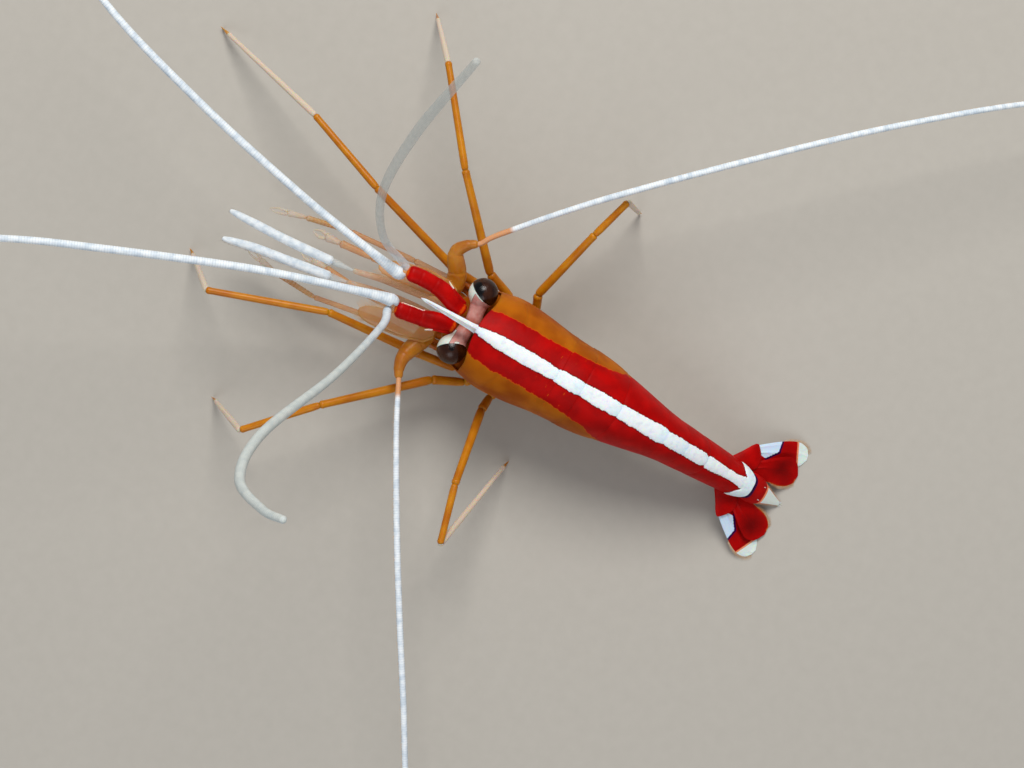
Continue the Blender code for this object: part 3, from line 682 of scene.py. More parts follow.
def plate(shape, y_low, y_high, angles, rows, block, proud=None, lobe=0.0, lip=0.16):
    """One shell plate: an outer face, a rolled rear lip, and an inner face that closes it.

    y_low and y_high give the front and rear edges at each angle; proud(share, angle) lifts the face.
    """
    shares = np.linspace(0, 1, rows)[:, None]
    y = y_low + (y_high - y_low) * shares
    lift = proud(shares, angles) if proud else np.zeros_like(y)
    lobes = lobe * np.sin(np.pi * np.clip(shares, 0, 1)) * np.ones_like(y)
    outer = section(y, angles, lift, lobes)
    stripe, band = markings(outer, y, angles, block)
    inside = np.clip(-stripe / 0.8, 0, 1)
    ridge = STRIPE_RISE * np.sqrt(1 - (1 - inside) ** 2) + STRIPE_STEP * smoothstep(-stripe, -0.03, 0.03)
    ridge = ridge + 0.025 * wander(outer, 2.2, 9.0) * smoothstep(inside, 0.0, 0.3)
    lift = lift + ridge
    outer = section(y, angles, lift, lobes)
    turns = np.linspace(0, np.pi, 7)[1:]
    half = lip / 2
    rear = [section(y[-1] + half * np.sin(turn), angles, lift[-1] - half * (1 - np.cos(turn)), lobes[-1])
            for turn in turns]
    inner = [section(y[-1] - PLATE_TUCK * step, angles, lift[-1] - lip - 0.05 * step, lobes[-1])
             for step in (0.5, 1.0)]
    front = [section(y[0] + half * (1 - np.sin(turn)) - half, angles, lift[0] - half * (1 + np.cos(turn)),
                     lobes[0]) for turn in turns[::-1]]
    front_inner = [section(y[0] + PLATE_TUCK * step, angles, lift[0] - lip - 0.05 * step, lobes[0])
                   for step in (1.0, 0.5)]
    top = np.concatenate((np.array(front_inner), np.array(front), outer, np.array(rear), np.array(inner)))
    extra = (top.shape[0] - rows) // 2
    middle = y_low.mean() * 0.5 + y_high.mean() * 0.5
    spark = hump(y, CARAPACE_REAR, 2.4) + 0.25 * hump(y, middle, 3.0)
    values = []
    for value in (stripe, band, spark):
        whole = np.concatenate((np.repeat(value[:1], extra, 0), value, np.repeat(value[-1:], extra, 0)))
        values.append(np.concatenate((whole, np.full((top.shape[0], 12), 9.0)), 1))
    centre = top.copy()
    centre[..., 0] *= 0.90
    centre[..., 2] += 0.16
    under = np.linspace(0, 1, 12)[None, :, None]
    left = centre[:, :1]
    right = centre[:, -1:]
    arch = np.sin(np.pi * under) * 0.9
    belly = right * (1 - under) + left * under
    belly[..., 2] += arch[..., 0] + 0.35
    grid = np.concatenate((top, belly), axis=1)
    shape.grid(grid, stripe=values[0], band=values[1], spark=values[2])


def add_carapace(finish):
    angles = plate_angles(260)
    height = section(7.5, angles)[..., 2]
    out = np.abs(section(7.5, angles)[..., 0])
    orbit = (1.0 + 0.6 * hump(out, 4.2, 1.8)) * smoothstep(height, 12.9, 13.9)
    tooth = -0.95 * hump(height, 12.75, 0.28)
    corner = 0.85 * smoothstep(height, 9.6, 8.0)
    front = CARAPACE_FRONT + orbit + tooth + corner
    rear = CARAPACE_REAR + 0.35 - 0.55 * smoothstep(height, 12.5, 8.5) + 0 * angles

    def relief(share, angle):
        y = CARAPACE_FRONT + (CARAPACE_REAR - CARAPACE_FRONT) * share
        down = np.abs(angle - math.pi / 2)
        groove = -0.07 * hump(y - 13.4 + 2.4 * down, 0, 0.35) * smoothstep(down, 0.35, 0.6)
        groove = groove - 0.05 * hump(down, 1.62, 0.06) * smoothstep(y, 8.5, 10.5)
        keel = 0.26 * hump(down, 0, 0.10) * smoothstep(y, 13.5, 8.0)
        return groove + keel + 0.05 * smoothstep(share, 0.93, 1.0)

    shape = Shape("stripe", "band", "spark")
    plate(shape, front, rear, angles, 210, 0, relief)
    shape.finish("carapace_shell", finish, "shell_red", "carapace")


def add_somites(finish):
    """Six rings of shell. Each slips under the one before; the second's sides cover both neighbours."""
    start = CARAPACE_REAR
    widen = (0.0, 0.9, 0.35, 0.25, 0.2, 0.0)        # how far the sides reach over the neighbours
    drops = (0.7, 1.1, 0.9, 0.7, 0.6, 0.2)
    flares = (-0.02, 0.14, 0.04, 0.02, 0.0, 0.0)
    for number, end in enumerate(SOMITE_ENDS, start=1):
        angles = plate_angles(230)
        down = np.abs(angles - math.pi / 2)
        low_side = smoothstep(down, 1.2, 2.1)
        rounding = smoothstep(down, 2.0, math.pi / 2 - EDGE_ANGLE)
        reach = widen[number - 1]
        front = start - 0.35 + low_side * (0.25 - reach) + rounding * (0.8 + reach) * 0.8
        rear = end + 0.28 + low_side * (reach - 0.15) - rounding * (0.8 + reach) * 0.8
        if number == 6:
            cut = section(48.0, angles)
            rear = np.maximum(TAIL_END - TAIL_END_CURVE * np.abs(cut[:, 0]) ** 4, 46.8) - (cut[:, 1] - 48.0)
        flare = flares[number - 1]

        def relief(share, angle):
            tucked = -0.12 * smoothstep(share, 0.16, 0.04)
            side = smoothstep(np.abs(angle - math.pi / 2), 0.9, 1.5)
            dome = 0.05 * np.sin(np.pi * np.clip(share, 0, 1)) ** 0.7
            return tucked * (1 - 0.6 * side) + dome + flare * side

        rows = int(34 + 13 * (end - start))
        shape = Shape("stripe", "band", "spark")
        plate(shape, front, rear, angles, rows, number, relief, drops[number - 1], lip=0.11)
        shape.finish(f"somite_{number}", finish, "shell_red", f"abdomen_{number}")
        start = end


# ---------------------------------------------------------------- rostrum and head

ROSTRUM_TIP = 0.0
ROSTRUM_ROOT = 9.8
ROSTRUM_TIP_HEIGHT = 19.5
ROSTRUM_ROOT_HEIGHT = 19.15
DORSAL_TEETH = (1.0, 2.3, 3.8, 5.5, 7.3, 9.2)
VENTRAL_TEETH = (1.5, 3.2, 5.0)


def saw(y, teeth, height, length):
    """A row of forward-pointing teeth: steep in front, a long slope behind."""
    rise = np.zeros_like(y)
    for tooth in teeth:
        behind = (y - tooth) / length
        rise = np.maximum(rise, np.where((behind > 0) & (behind < 1), (1 - behind) ** 1.3, 0) * height)
        ahead = (tooth - y) / (0.18 * length)
        rise = np.maximum(rise, np.where((ahead >= 0) & (ahead < 1), (1 - ahead), 0) * height)
    return rise


def add_rostrum(finish):
    """A blade with a ledge along each side, six teeth above and three below."""
    y = np.linspace(ROSTRUM_TIP, ROSTRUM_ROOT, 300)
    share = (y - ROSTRUM_TIP) / (ROSTRUM_ROOT - ROSTRUM_TIP)
    top = ROSTRUM_TIP_HEIGHT + (ROSTRUM_ROOT_HEIGHT - ROSTRUM_TIP_HEIGHT) * share
    depth = (0.22 + 2.1 * share ** 0.9) * smoothstep(share, -0.03, 0.05)
    ledge = 0.17 + 0.43 * share ** 0.8 + 0.2 * smoothstep(share, 0.7, 0.95)
    ledge = ledge * smoothstep(share, -0.04, 0.08)
    crest = top + saw(y, DORSAL_TEETH, 0.30, 1.5) * smoothstep(share, 0.0, 0.12)
    keel = top - depth - saw(y, VENTRAL_TEETH, 0.22, 1.2)
    middle = top - 0.36 * depth
    rows = []
    for index in range(len(y)):
        outline = []
        for across, level in ((0.0, 1.0), (0.16, 0.72), (0.34, 0.40), (0.72, 0.14), (1.0, 0.0), (0.80, -0.14),
                              (0.40, -0.34), (0.22, -0.66), (0.0, -1.0)):
            reach = crest[index] - middle[index] if level > 0 else middle[index] - keel[index]
            outline.append((across * ledge[index], y[index], middle[index] + level * reach))
        mirror = [(-x, place, z) for x, place, z in outline[-2:0:-1]]
        rows.append(outline + mirror)
    rows = np.array(rows)
    below = smoothstep(middle[:, None] - rows[..., 2], 0.05, 0.5)
    shape = Shape("stripe", "band", "spark")
    shape.grid(rows, stripe=-0.5 + 1.1 * below * smoothstep(share, 0.15, 0.5)[:, None], band=-3.0)
    shape.finish("rostrum", finish, "shell_red", "carapace")


EYES = {"left": np.array((3.66, 6.22, 15.5)), "right": np.array((-4.45, 6.22, 15.5))}
EYE_RADIUS = 1.9
EYE_AXES = {"left": (0.80, 0.48, 0.354), "right": (-0.846, 0.39, 0.365)}
STALK_ROOTS = {"left": (0.85, 6.5, 15.0), "right": (-0.95, 6.8, 15.0)}
STALK_RADIUS = 1.0
WHITE_FROM = {"left": 0.31, "right": 0.42}      # how far forward the white starts, in eye radii
# Where a thin white line runs along the cornea's rim: its ends forward, in eye radii, and its width.
WHITE_LINES = {"left": (-0.29, 0.0, 0.16), "right": (-0.31, 0.45, 0.10)}
# Black patches of the cornea: direction from the eye's middle, and reach in radians.
EYE_DARKS = {
    "left": (((-0.30, -0.08, 0.94), 0.24), ((-0.08, 0.02, 0.99), 0.20)),
    "right": (((0.0, -0.30, 0.95), 0.36), ((0.30, -0.11, 0.95), 0.24), ((-0.25, -0.52, 0.80), 0.30)),
}


def patches(directions, spots, softness=0.10):
    """How far inside any of the round spots each direction lies, 0.5 at their edges."""
    found = np.zeros(directions.shape[:-1])
    for place, reach in spots:
        turn = np.arccos(np.clip(directions @ unit(place), -1, 1))
        found = np.maximum(found, 0.5 + (reach - turn) / (2 * softness))
    return np.clip(found, 0, 1)


def turned_rows(centre, axis, distances, radii, sides):
    """Rings round an axis: each a distance from the centre along it, with its own radius."""
    axis = unit(axis)
    first = unit(np.cross(axis, (0.1, 0.2, 1)))
    second = np.cross(axis, first)
    angles = 2 * np.pi * np.arange(sides) / sides
    spokes = np.cos(angles)[:, None] * first + np.sin(angles)[:, None] * second
    distances = np.asarray(distances, float)[:, None, None]
    return centre + distances * axis + np.asarray(radii, float)[:, None, None] * spokes[None]


def add_eye(side, eye_finish, stalk_finish):
    centre = EYES[side]
    polar = np.linspace(0.02, 1.62, 46)
    radius = np.append(np.full(45, EYE_RADIUS), EYE_RADIUS - 0.14)
    rows = turned_rows(centre, EYE_AXES[side], radius * np.cos(polar), radius * np.sin(polar), 72)
    directions = unit(rows - centre)
    shape = Shape("dark")
    shape.grid(rows, dark=np.maximum(patches(directions, EYE_DARKS[side], 0.14),
                                     0.55 * smoothstep(polar, 1.35, 1.55)[:, None]))
    shape.finish(f"cornea_{side}", eye_finish, "cornea_brown", f"eye_{side}")

    root = np.array(STALK_ROOTS[side])
    axis = centre - root
    length = np.linalg.norm(axis)
    axis = axis / length
    inner_radius = EYE_RADIUS - 0.05
    distances = np.concatenate((np.linspace(-length - 1.3, -inner_radius, 30, endpoint=False),
                                -inner_radius * np.cos(np.linspace(0, np.pi, 60)[1:-1])))
    ball = np.sqrt(np.maximum(inner_radius ** 2 - distances ** 2, 0))
    stem = STALK_RADIUS * (1 + 0.10 * smoothstep(distances, -2.6, -1.6)) * smoothstep(-distances, -0.4, 0.4)
    radii = np.where(distances < 0, (ball ** 6 + stem ** 6) ** (1 / 6), ball)
    radii = np.maximum(radii, 0.02)
    rows = turned_rows(centre, axis, distances, radii, 72)
    offset = (rows - centre) / EYE_RADIUS
    forward = -offset[..., 1]
    behind = -(offset @ unit(EYE_AXES[side]))
    along = -distances[:, None] + 0 * forward
    white = 0.5 + (forward - WHITE_FROM[side]) / 0.3
    reach = 2.3 if side == "left" else 1.35
    white = np.minimum(white, 0.5 + (reach - along) / 0.4)
    low, high, width = WHITE_LINES[side]
    line = np.minimum(np.minimum(forward - low, high - forward), width - behind)
    white = np.maximum(white, 0.5 + line / 0.12)
    if side == "right":
        front = forward * EYE_RADIUS / STALK_RADIUS - 0.1
        share = (along - 1.3) / 1.5
        fleck = np.minimum(front - 0.62 - 0.3 * share, np.minimum(share, 1 - share) * 2)
        white = np.maximum(white, 0.5 + fleck / 0.16)
    shape = Shape("white", "amber")
    shape.grid(rows, white=np.clip(white, 0, 1),
               amber=smoothstep(along, length - 0.7, length + 0.5) * 0.8)
    shape.finish(f"stalk_{side}", stalk_finish, "stalk_pink", f"eyestalk_{side}")


# The soft wall behind the eyes: its place, its bulge forward and its middle height.
WALL_PLACE = 9.6
WALL_BULGE = 1.9
WALL_MIDDLE = 14.6


def add_head(finish):
    """The front of the head under the eyes, with the mouth's small limbs below it."""
    shape = Shape("pale")
    y = np.linspace(3.3, 8.6, 40)
    half_width = np.interp(y, (3.3, 3.9, 5.2, 6.6, 8.6), (0.6, 2.6, 4.3, 5.0, 5.1))
    half_height = np.interp(y, (3.3, 3.9, 5.2, 6.6, 8.6), (0.4, 1.4, 2.4, 2.9, 3.0))
    route = np.stack((0 * y, y, np.interp(y, (3.3, 8.6), (10.6, 10.3))), axis=1)
    tube(shape, route, half_width, half_height, sides=48, power=2.5, round_ends=False, pale=0.0)
    y = np.linspace(5.2, 8.8, 24)
    route = np.stack((0 * y, y, np.interp(y, (5.2, 8.8), (13.9, 14.2))), axis=1)
    tube(shape, route, spread((0.5, 0.75, 0.9, 1.0), 24), spread((1.0, 1.9, 2.1, 2.2), 24), sides=28,
         power=2.4, pale=0.0)
    for side in SIDES:
        for start, middle, end, radius in (
                ((1.5, 4.6, 8.4), (1.6, 3.4, 7.4), (0.7, 2.6, 6.9), 0.62),
                ((2.5, 5.0, 8.2), (2.9, 3.2, 6.9), (1.7, 1.9, 6.5), 0.46),
                ((3.3, 5.4, 8.4), (3.9, 3.4, 7.2), (3.0, 1.2, 7.6), 0.36),
                ((3.9, 5.8, 8.9), (4.5, 4.0, 8.3), (4.3, 2.0, 8.9), 0.30)):
            route = smooth_route([mirrored(point, side) for point in (start, middle, end)], 0.12)
            tube(shape, route, spread((radius, radius * 1.15, radius * 0.7), len(route)), sides=14, pale=0.2)
    ring = section(WALL_PLACE, plate_angles(90), -0.35)
    centre = np.array((0.0, 0.0, WALL_MIDDLE))
    dome = []
    for turn in np.linspace(0, np.pi / 2, 16):
        row = centre + (ring - centre) * (0.98 * np.cos(turn) + 0.02)
        level = WALL_PLACE * (1 - np.cos(turn)) - WALL_BULGE * np.sin(turn)
        row[:, 1] = ring[:, 1] * np.cos(turn) + level
        dome.append(row)
    shape.grid(np.array(dome), pale=0.0)
    shape.finish("head_front", finish, "shell_amber", "head")


def add_breastplate(finish):
    """The underside between the legs: a plate with low bars across it, about a leg's spacing apart."""
    shape = Shape("pale")
    y = np.linspace(5.2, 19.4, 90)
    half_width = np.interp(y, (5.2, 6.0, 11.0, 17.0, 19.4), (1.5, 2.1, 2.75, 2.75, 2.2))
    ripple = 0.14 * np.cos(2 * np.pi * (y - 6.1) / 2.1)
    half_height = np.interp(y, (5.2, 6.2, 17.0, 19.4), (0.6, 1.1, 1.1, 0.8)) + ripple * 0.5
    route = np.stack((0 * y, y, 6.2 + 0 * y), axis=1)
    tube(shape, route, half_width, half_height, sides=40, power=3.2, pale=0.1)
    y = np.linspace(6.0, 19.6, 60)
    route = np.stack((0 * y, y, 9.3 + 0 * y), axis=1)
    tube(shape, route, np.interp(y, (6.0, 8.0, 17.0, 19.6), (3.9, 4.7, 4.6, 3.9)),
         np.interp(y, (6.0, 19.6), (2.6, 2.4)), sides=40, power=2.6, pale=0.0)
    shape.finish("breastplate", finish, "shell_amber", "thorax")


# ---------------------------------------------------------------- feelers

ANTENNULE_PEDUNCLES = {
    "left": [(1.15, 5.4, 14.9), (1.3, 3.5, 15.4), (2.0, 1.4, 16.0), (2.4, -0.7, 16.7), (2.7, -2.4, 17.3)],
    "right": [(-1.3, 5.4, 14.9), (-1.5, 3.6, 15.4), (-2.2, 1.6, 16.0), (-2.3, -1.0, 16.8),
              (-2.0, -3.3, 17.4)],
}
ANTENNULES_INNER = {
    "left": [(2.05, -3.35, 17.8), (3.4, -8.2, 19.4), (7.2, -19.6, 22.8), (13.9, -35.7, 27.4),
             (18.6, -46.0, 29.6), (25.8, -58.5, 30.4)],
    "right": [(-1.35, -4.2, 17.9), (-1.95, -8.4, 19.6), (-3.7, -18.9, 22.6), (-7.1, -34.0, 26.8),
              (-11.8, -49.1, 30.2), (-19.3, -63.2, 31.5)],
}
ANTENNULES_OUTER = {
    "left": [(3.45, -3.0, 17.5), (5.6, -2.5, 20.0), (13.1, -3.6, 31.0), (21.7, -5.9, 47.0),
             (26.0, -4.6, 57.0), (26.7, -0.4, 64.5), (26.1, 2.4, 68.0)],
    "right": [(-2.7, -4.1, 17.7), (-4.1, -7.3, 24.5), (-8.0, -8.6, 37.0), (-14.2, -6.7, 54.0),
              (-21.7, -3.2, 70.0)],
}
ANTENNA_PEDUNCLES = {
    "left": [(2.6, 2.5, 10.7), (4.6, 2.1, 11.7), (7.2, 1.3, 12.6), (8.9, 1.5, 13.1), (10.3, 2.2, 13.5)],
    "right": [(-2.6, 2.5, 10.7), (-5.0, 2.0, 11.7), (-7.2, 0.6, 12.6), (-8.6, 1.2, 13.1),
              (-9.7, 2.6, 13.5)],
}
ANTENNAE = {
    "left": [(10.6, 2.4, 13.6), (17.0, 5.8, 15.0), (29.9, 13.4, 16.4), (44.9, 22.7, 15.6),
             (59.3, 31.7, 13.2), (74.9, 44.8, 9.2)],
    "right": [(-9.95, 2.9, 13.6), (-12.3, 4.6, 14.2), (-21.7, 13.2, 16.0), (-35.2, 27.0, 17.2),
              (-48.4, 41.2, 16.5), (-60.9, 56.4, 14.2), (-71.9, 73.8, 10.0)],
}
ANTENNAL_SCALES = {
    "left": [(3.1, 3.4, 13.5), (4.2, -1.5, 14.1), (5.2, -6.5, 14.6)],
    "right": [(-2.6, 3.2, 13.5), (-2.0, -2.0, 14.2), (-1.0, -7.0, 14.8)],
}
RING_LENGTH = 0.32          # one ring of a feeler
RING_SAMPLES = 4


def feeler(shape, points, radii, haze=0.0, amber=None):
    """A white feeler of many short rings; amber is the length of an amber stretch at its root."""
    spacing = RING_LENGTH / RING_SAMPLES
    route = smooth_route(points, spacing)
    count = len(route)
    radii = spread(radii, count)
    phase = np.arange(count) / RING_SAMPLES
    ring = 0.5 + 0.5 * np.cos(2 * np.pi * phase)
    radii = radii * (1 - 0.022 * ring)
    reach = np.arange(count) * spacing
    share = reach / reach[-1]
    amber_share = np.zeros(count) if amber is None else smoothstep(reach, amber, amber - 0.9) * 0.9
    tube(shape, route, radii, sides=12, ring=ring, haze=haze * smoothstep(share, 0.0, 0.25),
         amber=amber_share)
    return route, radii


def thick_base(radii, samples, spacing, start, reach):
    """Extra radius near a feeler's root."""
    place = np.arange(samples) * spacing
    return np.interp(np.linspace(0, 1, samples), np.linspace(0, 1, len(radii)), radii) \
        + start * np.exp(-(place / reach) ** 1.4)


AMBER_STRETCH = {"left": 3.2, "right": 5.5}         # how much of each antenna is amber before the white


def add_peduncle(side, finish):
    """The stem of a pair of feelers: three red joints, with a pointed scale beside the first."""
    stem = smooth_route(ANTENNULE_PEDUNCLES[side], 0.09)
    share = np.linspace(0, 1, len(stem))
    radii = spread((0.70, 1.0, 1.10, 0.98, 1.0, 0.97), len(stem))
    for joint in (0.58, 0.80):
        radii = radii * (1 - 0.035 * hump(share, joint, 0.012) + 0.015 * hump(share, joint - 0.03, 0.02))
    angles = 2 * np.pi * np.arange(40) / 40
    inner_side = 0.0 if side == "left" else math.pi
    turn = np.abs((angles - inner_side + math.pi) % (2 * math.pi) - math.pi)
    rim = np.maximum(hump(share, 1.0, 0.035), 0.8 * hump(share, 0.06, 0.06))
    low_rim = hump(np.sin(angles), -0.25, 0.3) * 0.7
    streak = hump(turn, 0.35, 0.3) * (smoothstep(share, 0.42, 0.6) * smoothstep(share, 1.02, 0.9))[:, None]
    shape = Shape("rim", "mark")
    tube(shape, stem, radii * 1.06, radii * 0.84, sides=40, power=2.3,
         rim=np.maximum(rim[:, None], low_rim[None, :]), mark=streak * (0.8 if side == "left" else 0.2))
    outward = 1 if side == "left" else -1
    spine = [stem[int(place * len(stem))] + (outward * out, 0, rise)
             for place, out, rise in ((0.05, 0.6, 0.0), (0.26, 1.1, 0.2), (0.42, 1.45, 0.35))]
    route = smooth_route(spine, 0.07)
    tube(shape, route, spread((0.45, 0.36, 0.2, 0.05), len(route)), sides=16, rim=0.5,
         mark=smoothstep(np.linspace(0, 1, len(route)), 0.62, 0.8))
    shape.finish(f"antennule_stem_{side}", finish, "shell_red", f"antennule_peduncle_{side}")
    return stem


def add_antennules(side, stem, feeler_finish, haze_finish):
    """The two long feelers of one stem: the inner one white, the outer one softer."""
    for kind, routes, radii, fat in (
            ("inner", ANTENNULES_INNER, (0.52, 0.50, 0.50, 0.48, 0.42, 0.24), 0.40),
            ("outer", ANTENNULES_OUTER, (0.46, 0.52, 0.58, 0.60, 0.42), 0.10)):
        shape = Shape("ring", "haze", "amber")
        points = [tuple(0.55 * stem[-1] + 0.45 * np.array(routes[side][0]))] + list(routes[side])
        spacing = RING_LENGTH / RING_SAMPLES
        count = len(smooth_route(points, spacing))
        haze = 0.0 if kind == "inner" else 0.6
        feeler(shape, points, thick_base(radii, count, spacing, fat, 2.8), haze=haze)
        finish = feeler_finish if kind == "inner" else haze_finish[side]
        shape.finish(f"antennule_{kind}_flagellum_{side}", finish, "feeler_white", f"antennule_{kind}_{side}")


def add_antenna(side, amber_finish, feeler_finish):
    """One of the second, longest feelers on its jointed amber stem."""
    stem = smooth_route(ANTENNA_PEDUNCLES[side], 0.09)
    shape = Shape("ring", "haze", "amber")
    points = [tuple(stem[-5])] + list(ANTENNAE[side])
    route, radii = feeler(shape, points, (0.34, 0.42, 0.42, 0.40, 0.35, 0.24), amber=AMBER_STRETCH[side])
    shape.finish(f"antenna_flagellum_{side}", feeler_finish, "feeler_white", f"antenna_{side}")
    share = np.linspace(0, 1, len(stem))
    stem_radii = spread((1.30, 1.26, 1.12, 0.80, 0.46), len(stem))
    for joint in (0.34, 0.62, 0.88):
        swelling = 0.02 * hump(share, joint - 0.035, 0.025)
        stem_radii = stem_radii * (1 - 0.04 * hump(share, joint, 0.015) + swelling)
    shape = Shape("pale")
    tube(shape, stem, stem_radii, sides=30, pale=0.0)
    shape.finish(f"antenna_stem_{side}", amber_finish, "shell_amber", f"antenna_peduncle_{side}")
    return route, radii


def add_scale(side, finish):
    """The thin clear scale beside each antenna, stiffened by a spine along its outer edge."""
    route = smooth_route(ANTENNAL_SCALES[side], 0.09)
    share = np.linspace(0, 1, len(route))
    half_width = np.interp(share, (0, 0.12, 0.4, 0.8, 0.93, 1.0), (0.8, 1.25, 1.55, 1.25, 0.9, 0.35))
    shape = Shape("pale")
    rows = tube(shape, route, half_width, np.full(len(route), 0.13), up=mirrored((0.35, 0.1, 1.0), side),
                sides=28, power=2.2, pale=0.15)
    outer, inner = (rows[:, 0], rows[:, 14]) if side == "right" else (rows[:, 14], rows[:, 0])
    line = smooth_route(outer[::12], 0.12)
    tip = line[-1] + 5 * (line[-1] - line[-3])
    tube(shape, np.vstack((line, tip)), spread((0.2, 0.2, 0.16, 0.04), len(line) + 1), sides=10, pale=0.3)
    shape.finish(f"scale_{side}", finish, "shell_amber", f"antennal_scale_{side}")
    return outer, inner, rows.mean(axis=1)


# ---------------------------------------------------------------- limbs

MAXILLIPEDS = {
    "left": [(1.2, 3.6, 7.0), (1.3, -0.8, 8.4), (1.9, -5.5, 10.2), (2.7, -9.4, 11.2), (3.2, -11.9, 11.4),
             (4.1, -17.5, 11.2), (4.8, -22.3, 10.6), (5.8, -26.7, 10.0)],
    "right": [(-1.2, 3.6, 7.0), (-0.6, -1.0, 8.4), (0.1, -5.6, 10.2), (1.0, -9.3, 11.2), (1.4, -12.6, 11.4),
              (1.9, -18.6, 11.2), (2.1, -23.8, 10.6), (2.2, -27.6, 10.0)],
}
THORAX_HALF_WIDTH = 2.6
COXA_HEIGHT = 5.75
COXA_OUT = THORAX_HALF_WIDTH + 0.65
LEGS = {
    ("left", 1): [(2.7, 6.1, COXA_HEIGHT), (2.5, 3.0, 5.9), (2.8, -2.5, 6.9), (2.9, -9.0, 7.4),
                  (2.6, -13.5, 7.2), (2.3, -17.5, 6.6)],
    ("right", 1): [(-2.7, 6.1, COXA_HEIGHT), (-2.5, 3.0, 5.9), (-2.2, -2.5, 6.8), (-1.6, -9.0, 7.4),
                   (-1.2, -13.5, 7.2), (-0.9, -17.5, 6.6)],
    ("left", 2): [(3.2, 8.4, COXA_HEIGHT), (4.5, 3.6, 5.6), (5.0, -4.0, 6.4), (6.6, -13.0, 7.4),
                  (6.3, -19.0, 7.0), (5.4, -24.0, 5.8)],
    ("right", 2): [(-3.2, 8.4, COXA_HEIGHT), (-4.4, 3.7, 5.6), (-4.0, -4.0, 6.4), (-3.2, -13.0, 7.4),
                   (-1.9, -19.0, 7.0), (-0.6, -24.0, 5.8)],
    ("left", 3): [(COXA_OUT, 10.5, COXA_HEIGHT), (5.6, 7.4, 5.9), (6.3, 2.0, 7.4), (7.3, -9.9, 12.0),
                  (12.5, -24.6, 13.2), (9.7, -30.5, 1.5), (9.3, -31.3, 0.0)],
    ("right", 3): [(-COXA_OUT, 10.5, COXA_HEIGHT), (-5.3, 7.2, 5.9), (-5.5, 1.4, 7.9), (-9.5, -12.3, 12.6),
                   (-13.7, -23.8, 12.2), (-18.2, -40.9, 1.5), (-18.6, -42.4, 0.0)],
    ("left", 4): [(COXA_OUT, 12.6, COXA_HEIGHT), (6.6, 9.4, 5.8), (8.4, 5.6, 7.6), (18.1, -4.9, 13.2),
                  (25.9, -12.2, 12.6), (25.2, -18.2, 1.5), (25.1, -18.9, 0.0)],
    ("right", 4): [(-COXA_OUT, 12.6, COXA_HEIGHT), (-6.1, 9.2, 5.8), (-7.3, 5.5, 8.1), (-17.0, -3.6, 13.2),
                   (-27.9, -12.3, 12.6), (-33.7, -17.6, 1.5), (-34.3, -18.2, 0.0)],
    ("left", 5): [(COXA_OUT, 14.7, COXA_HEIGHT), (6.6, 13.3, 5.8), (8.6, 13.2, 7.4), (18.3, 15.0, 14.2),
                  (25.7, 17.1, 15.3), (13.8, 19.5, 1.5), (13.0, 19.7, 0.0)],
    ("right", 5): [(-COXA_OUT, 14.7, COXA_HEIGHT), (-6.0, 13.1, 5.8), (-8.1, 12.2, 7.6),
                   (-18.0, 14.8, 13.0), (-23.5, 16.4, 14.4), (-24.5, 18.4, 1.5), (-24.6, 18.6, 0.0)],
}
CLAW_LEG_RADII = (0.55, 0.50, 0.50, 0.42, 0.50, 0.22)
LONG_CLAW_LEG_RADII = (0.50, 0.42, 0.40, 0.32, 0.36, 0.2)
WALKING_LEG_RADII = (0.68, 0.55, 0.58, 0.48, 0.42, 0.28, 0.15)


def article(shape, start, end, radius_start, radius_end, bow=0.0, **values):
    """One tapering length of a limb, rounded and a little swollen where it meets the next."""
    start = np.asarray(start, float)
    end = np.asarray(end, float)
    length = np.linalg.norm(end - start)
    along = (end - start) / length
    reach = np.arange(-0.35 * radius_start, length + 0.35 * radius_end, 0.14)
    share = np.clip(reach / length, 0, 1)
    radii = radius_start + (radius_end - radius_start) * share
    radii = radii * (1 + 0.10 * hump(reach, length - 0.2, 0.35) - 0.08 * hump(reach, 0.3, 0.4))
    route = start + along * reach[:, None]
    route = route + np.array((0, 0, bow)) * np.sin(np.pi * share)[:, None]
    values = {name: spread(value, len(reach)) if np.ndim(value) else value for name, value in values.items()}
    up = (0.05, 0.02, 1.0) if abs(along[2]) < 0.9 else (1, 0, 0)
    tube(shape, route, radii, up=up, sides=18, **values)


def claw_finger(shape, start, end, bend, radius, **values):
    start = np.asarray(start, float)
    end = np.asarray(end, float)
    middle = (start + end) / 2 + np.asarray(bend, float)
    route = smooth_route([start, middle, end], 0.06)
    tube(shape, route, radius * (1 - 0.82 * np.linspace(0, 1, len(route)) ** 1.3), sides=12,
         up=(0.1, 0.2, 1.0), **values)


def thorn(shape, root, tip, radii, **values):
    tube(shape, np.linspace(root, tip, 6), spread(radii, 6), sides=6, **values)


def spines(shape, start, end, radius, count, lean, **values):
    """A row of short movable spines along one side of a limb's length."""
    start = np.asarray(start, float)
    end = np.asarray(end, float)
    along = unit(end - start)
    lean = unit(np.asarray(lean, float) - along * float(np.dot(lean, along)))
    for index in range(count):
        place = start + (end - start) * (index + 0.7) / (count + 0.4) + lean * radius * 0.85
        tip = place + along * 0.42 + lean * 0.30
        thorn(shape, place - lean * 0.15, tip, (0.075, 0.02), up=(1, 0.3, 0.2), **values)


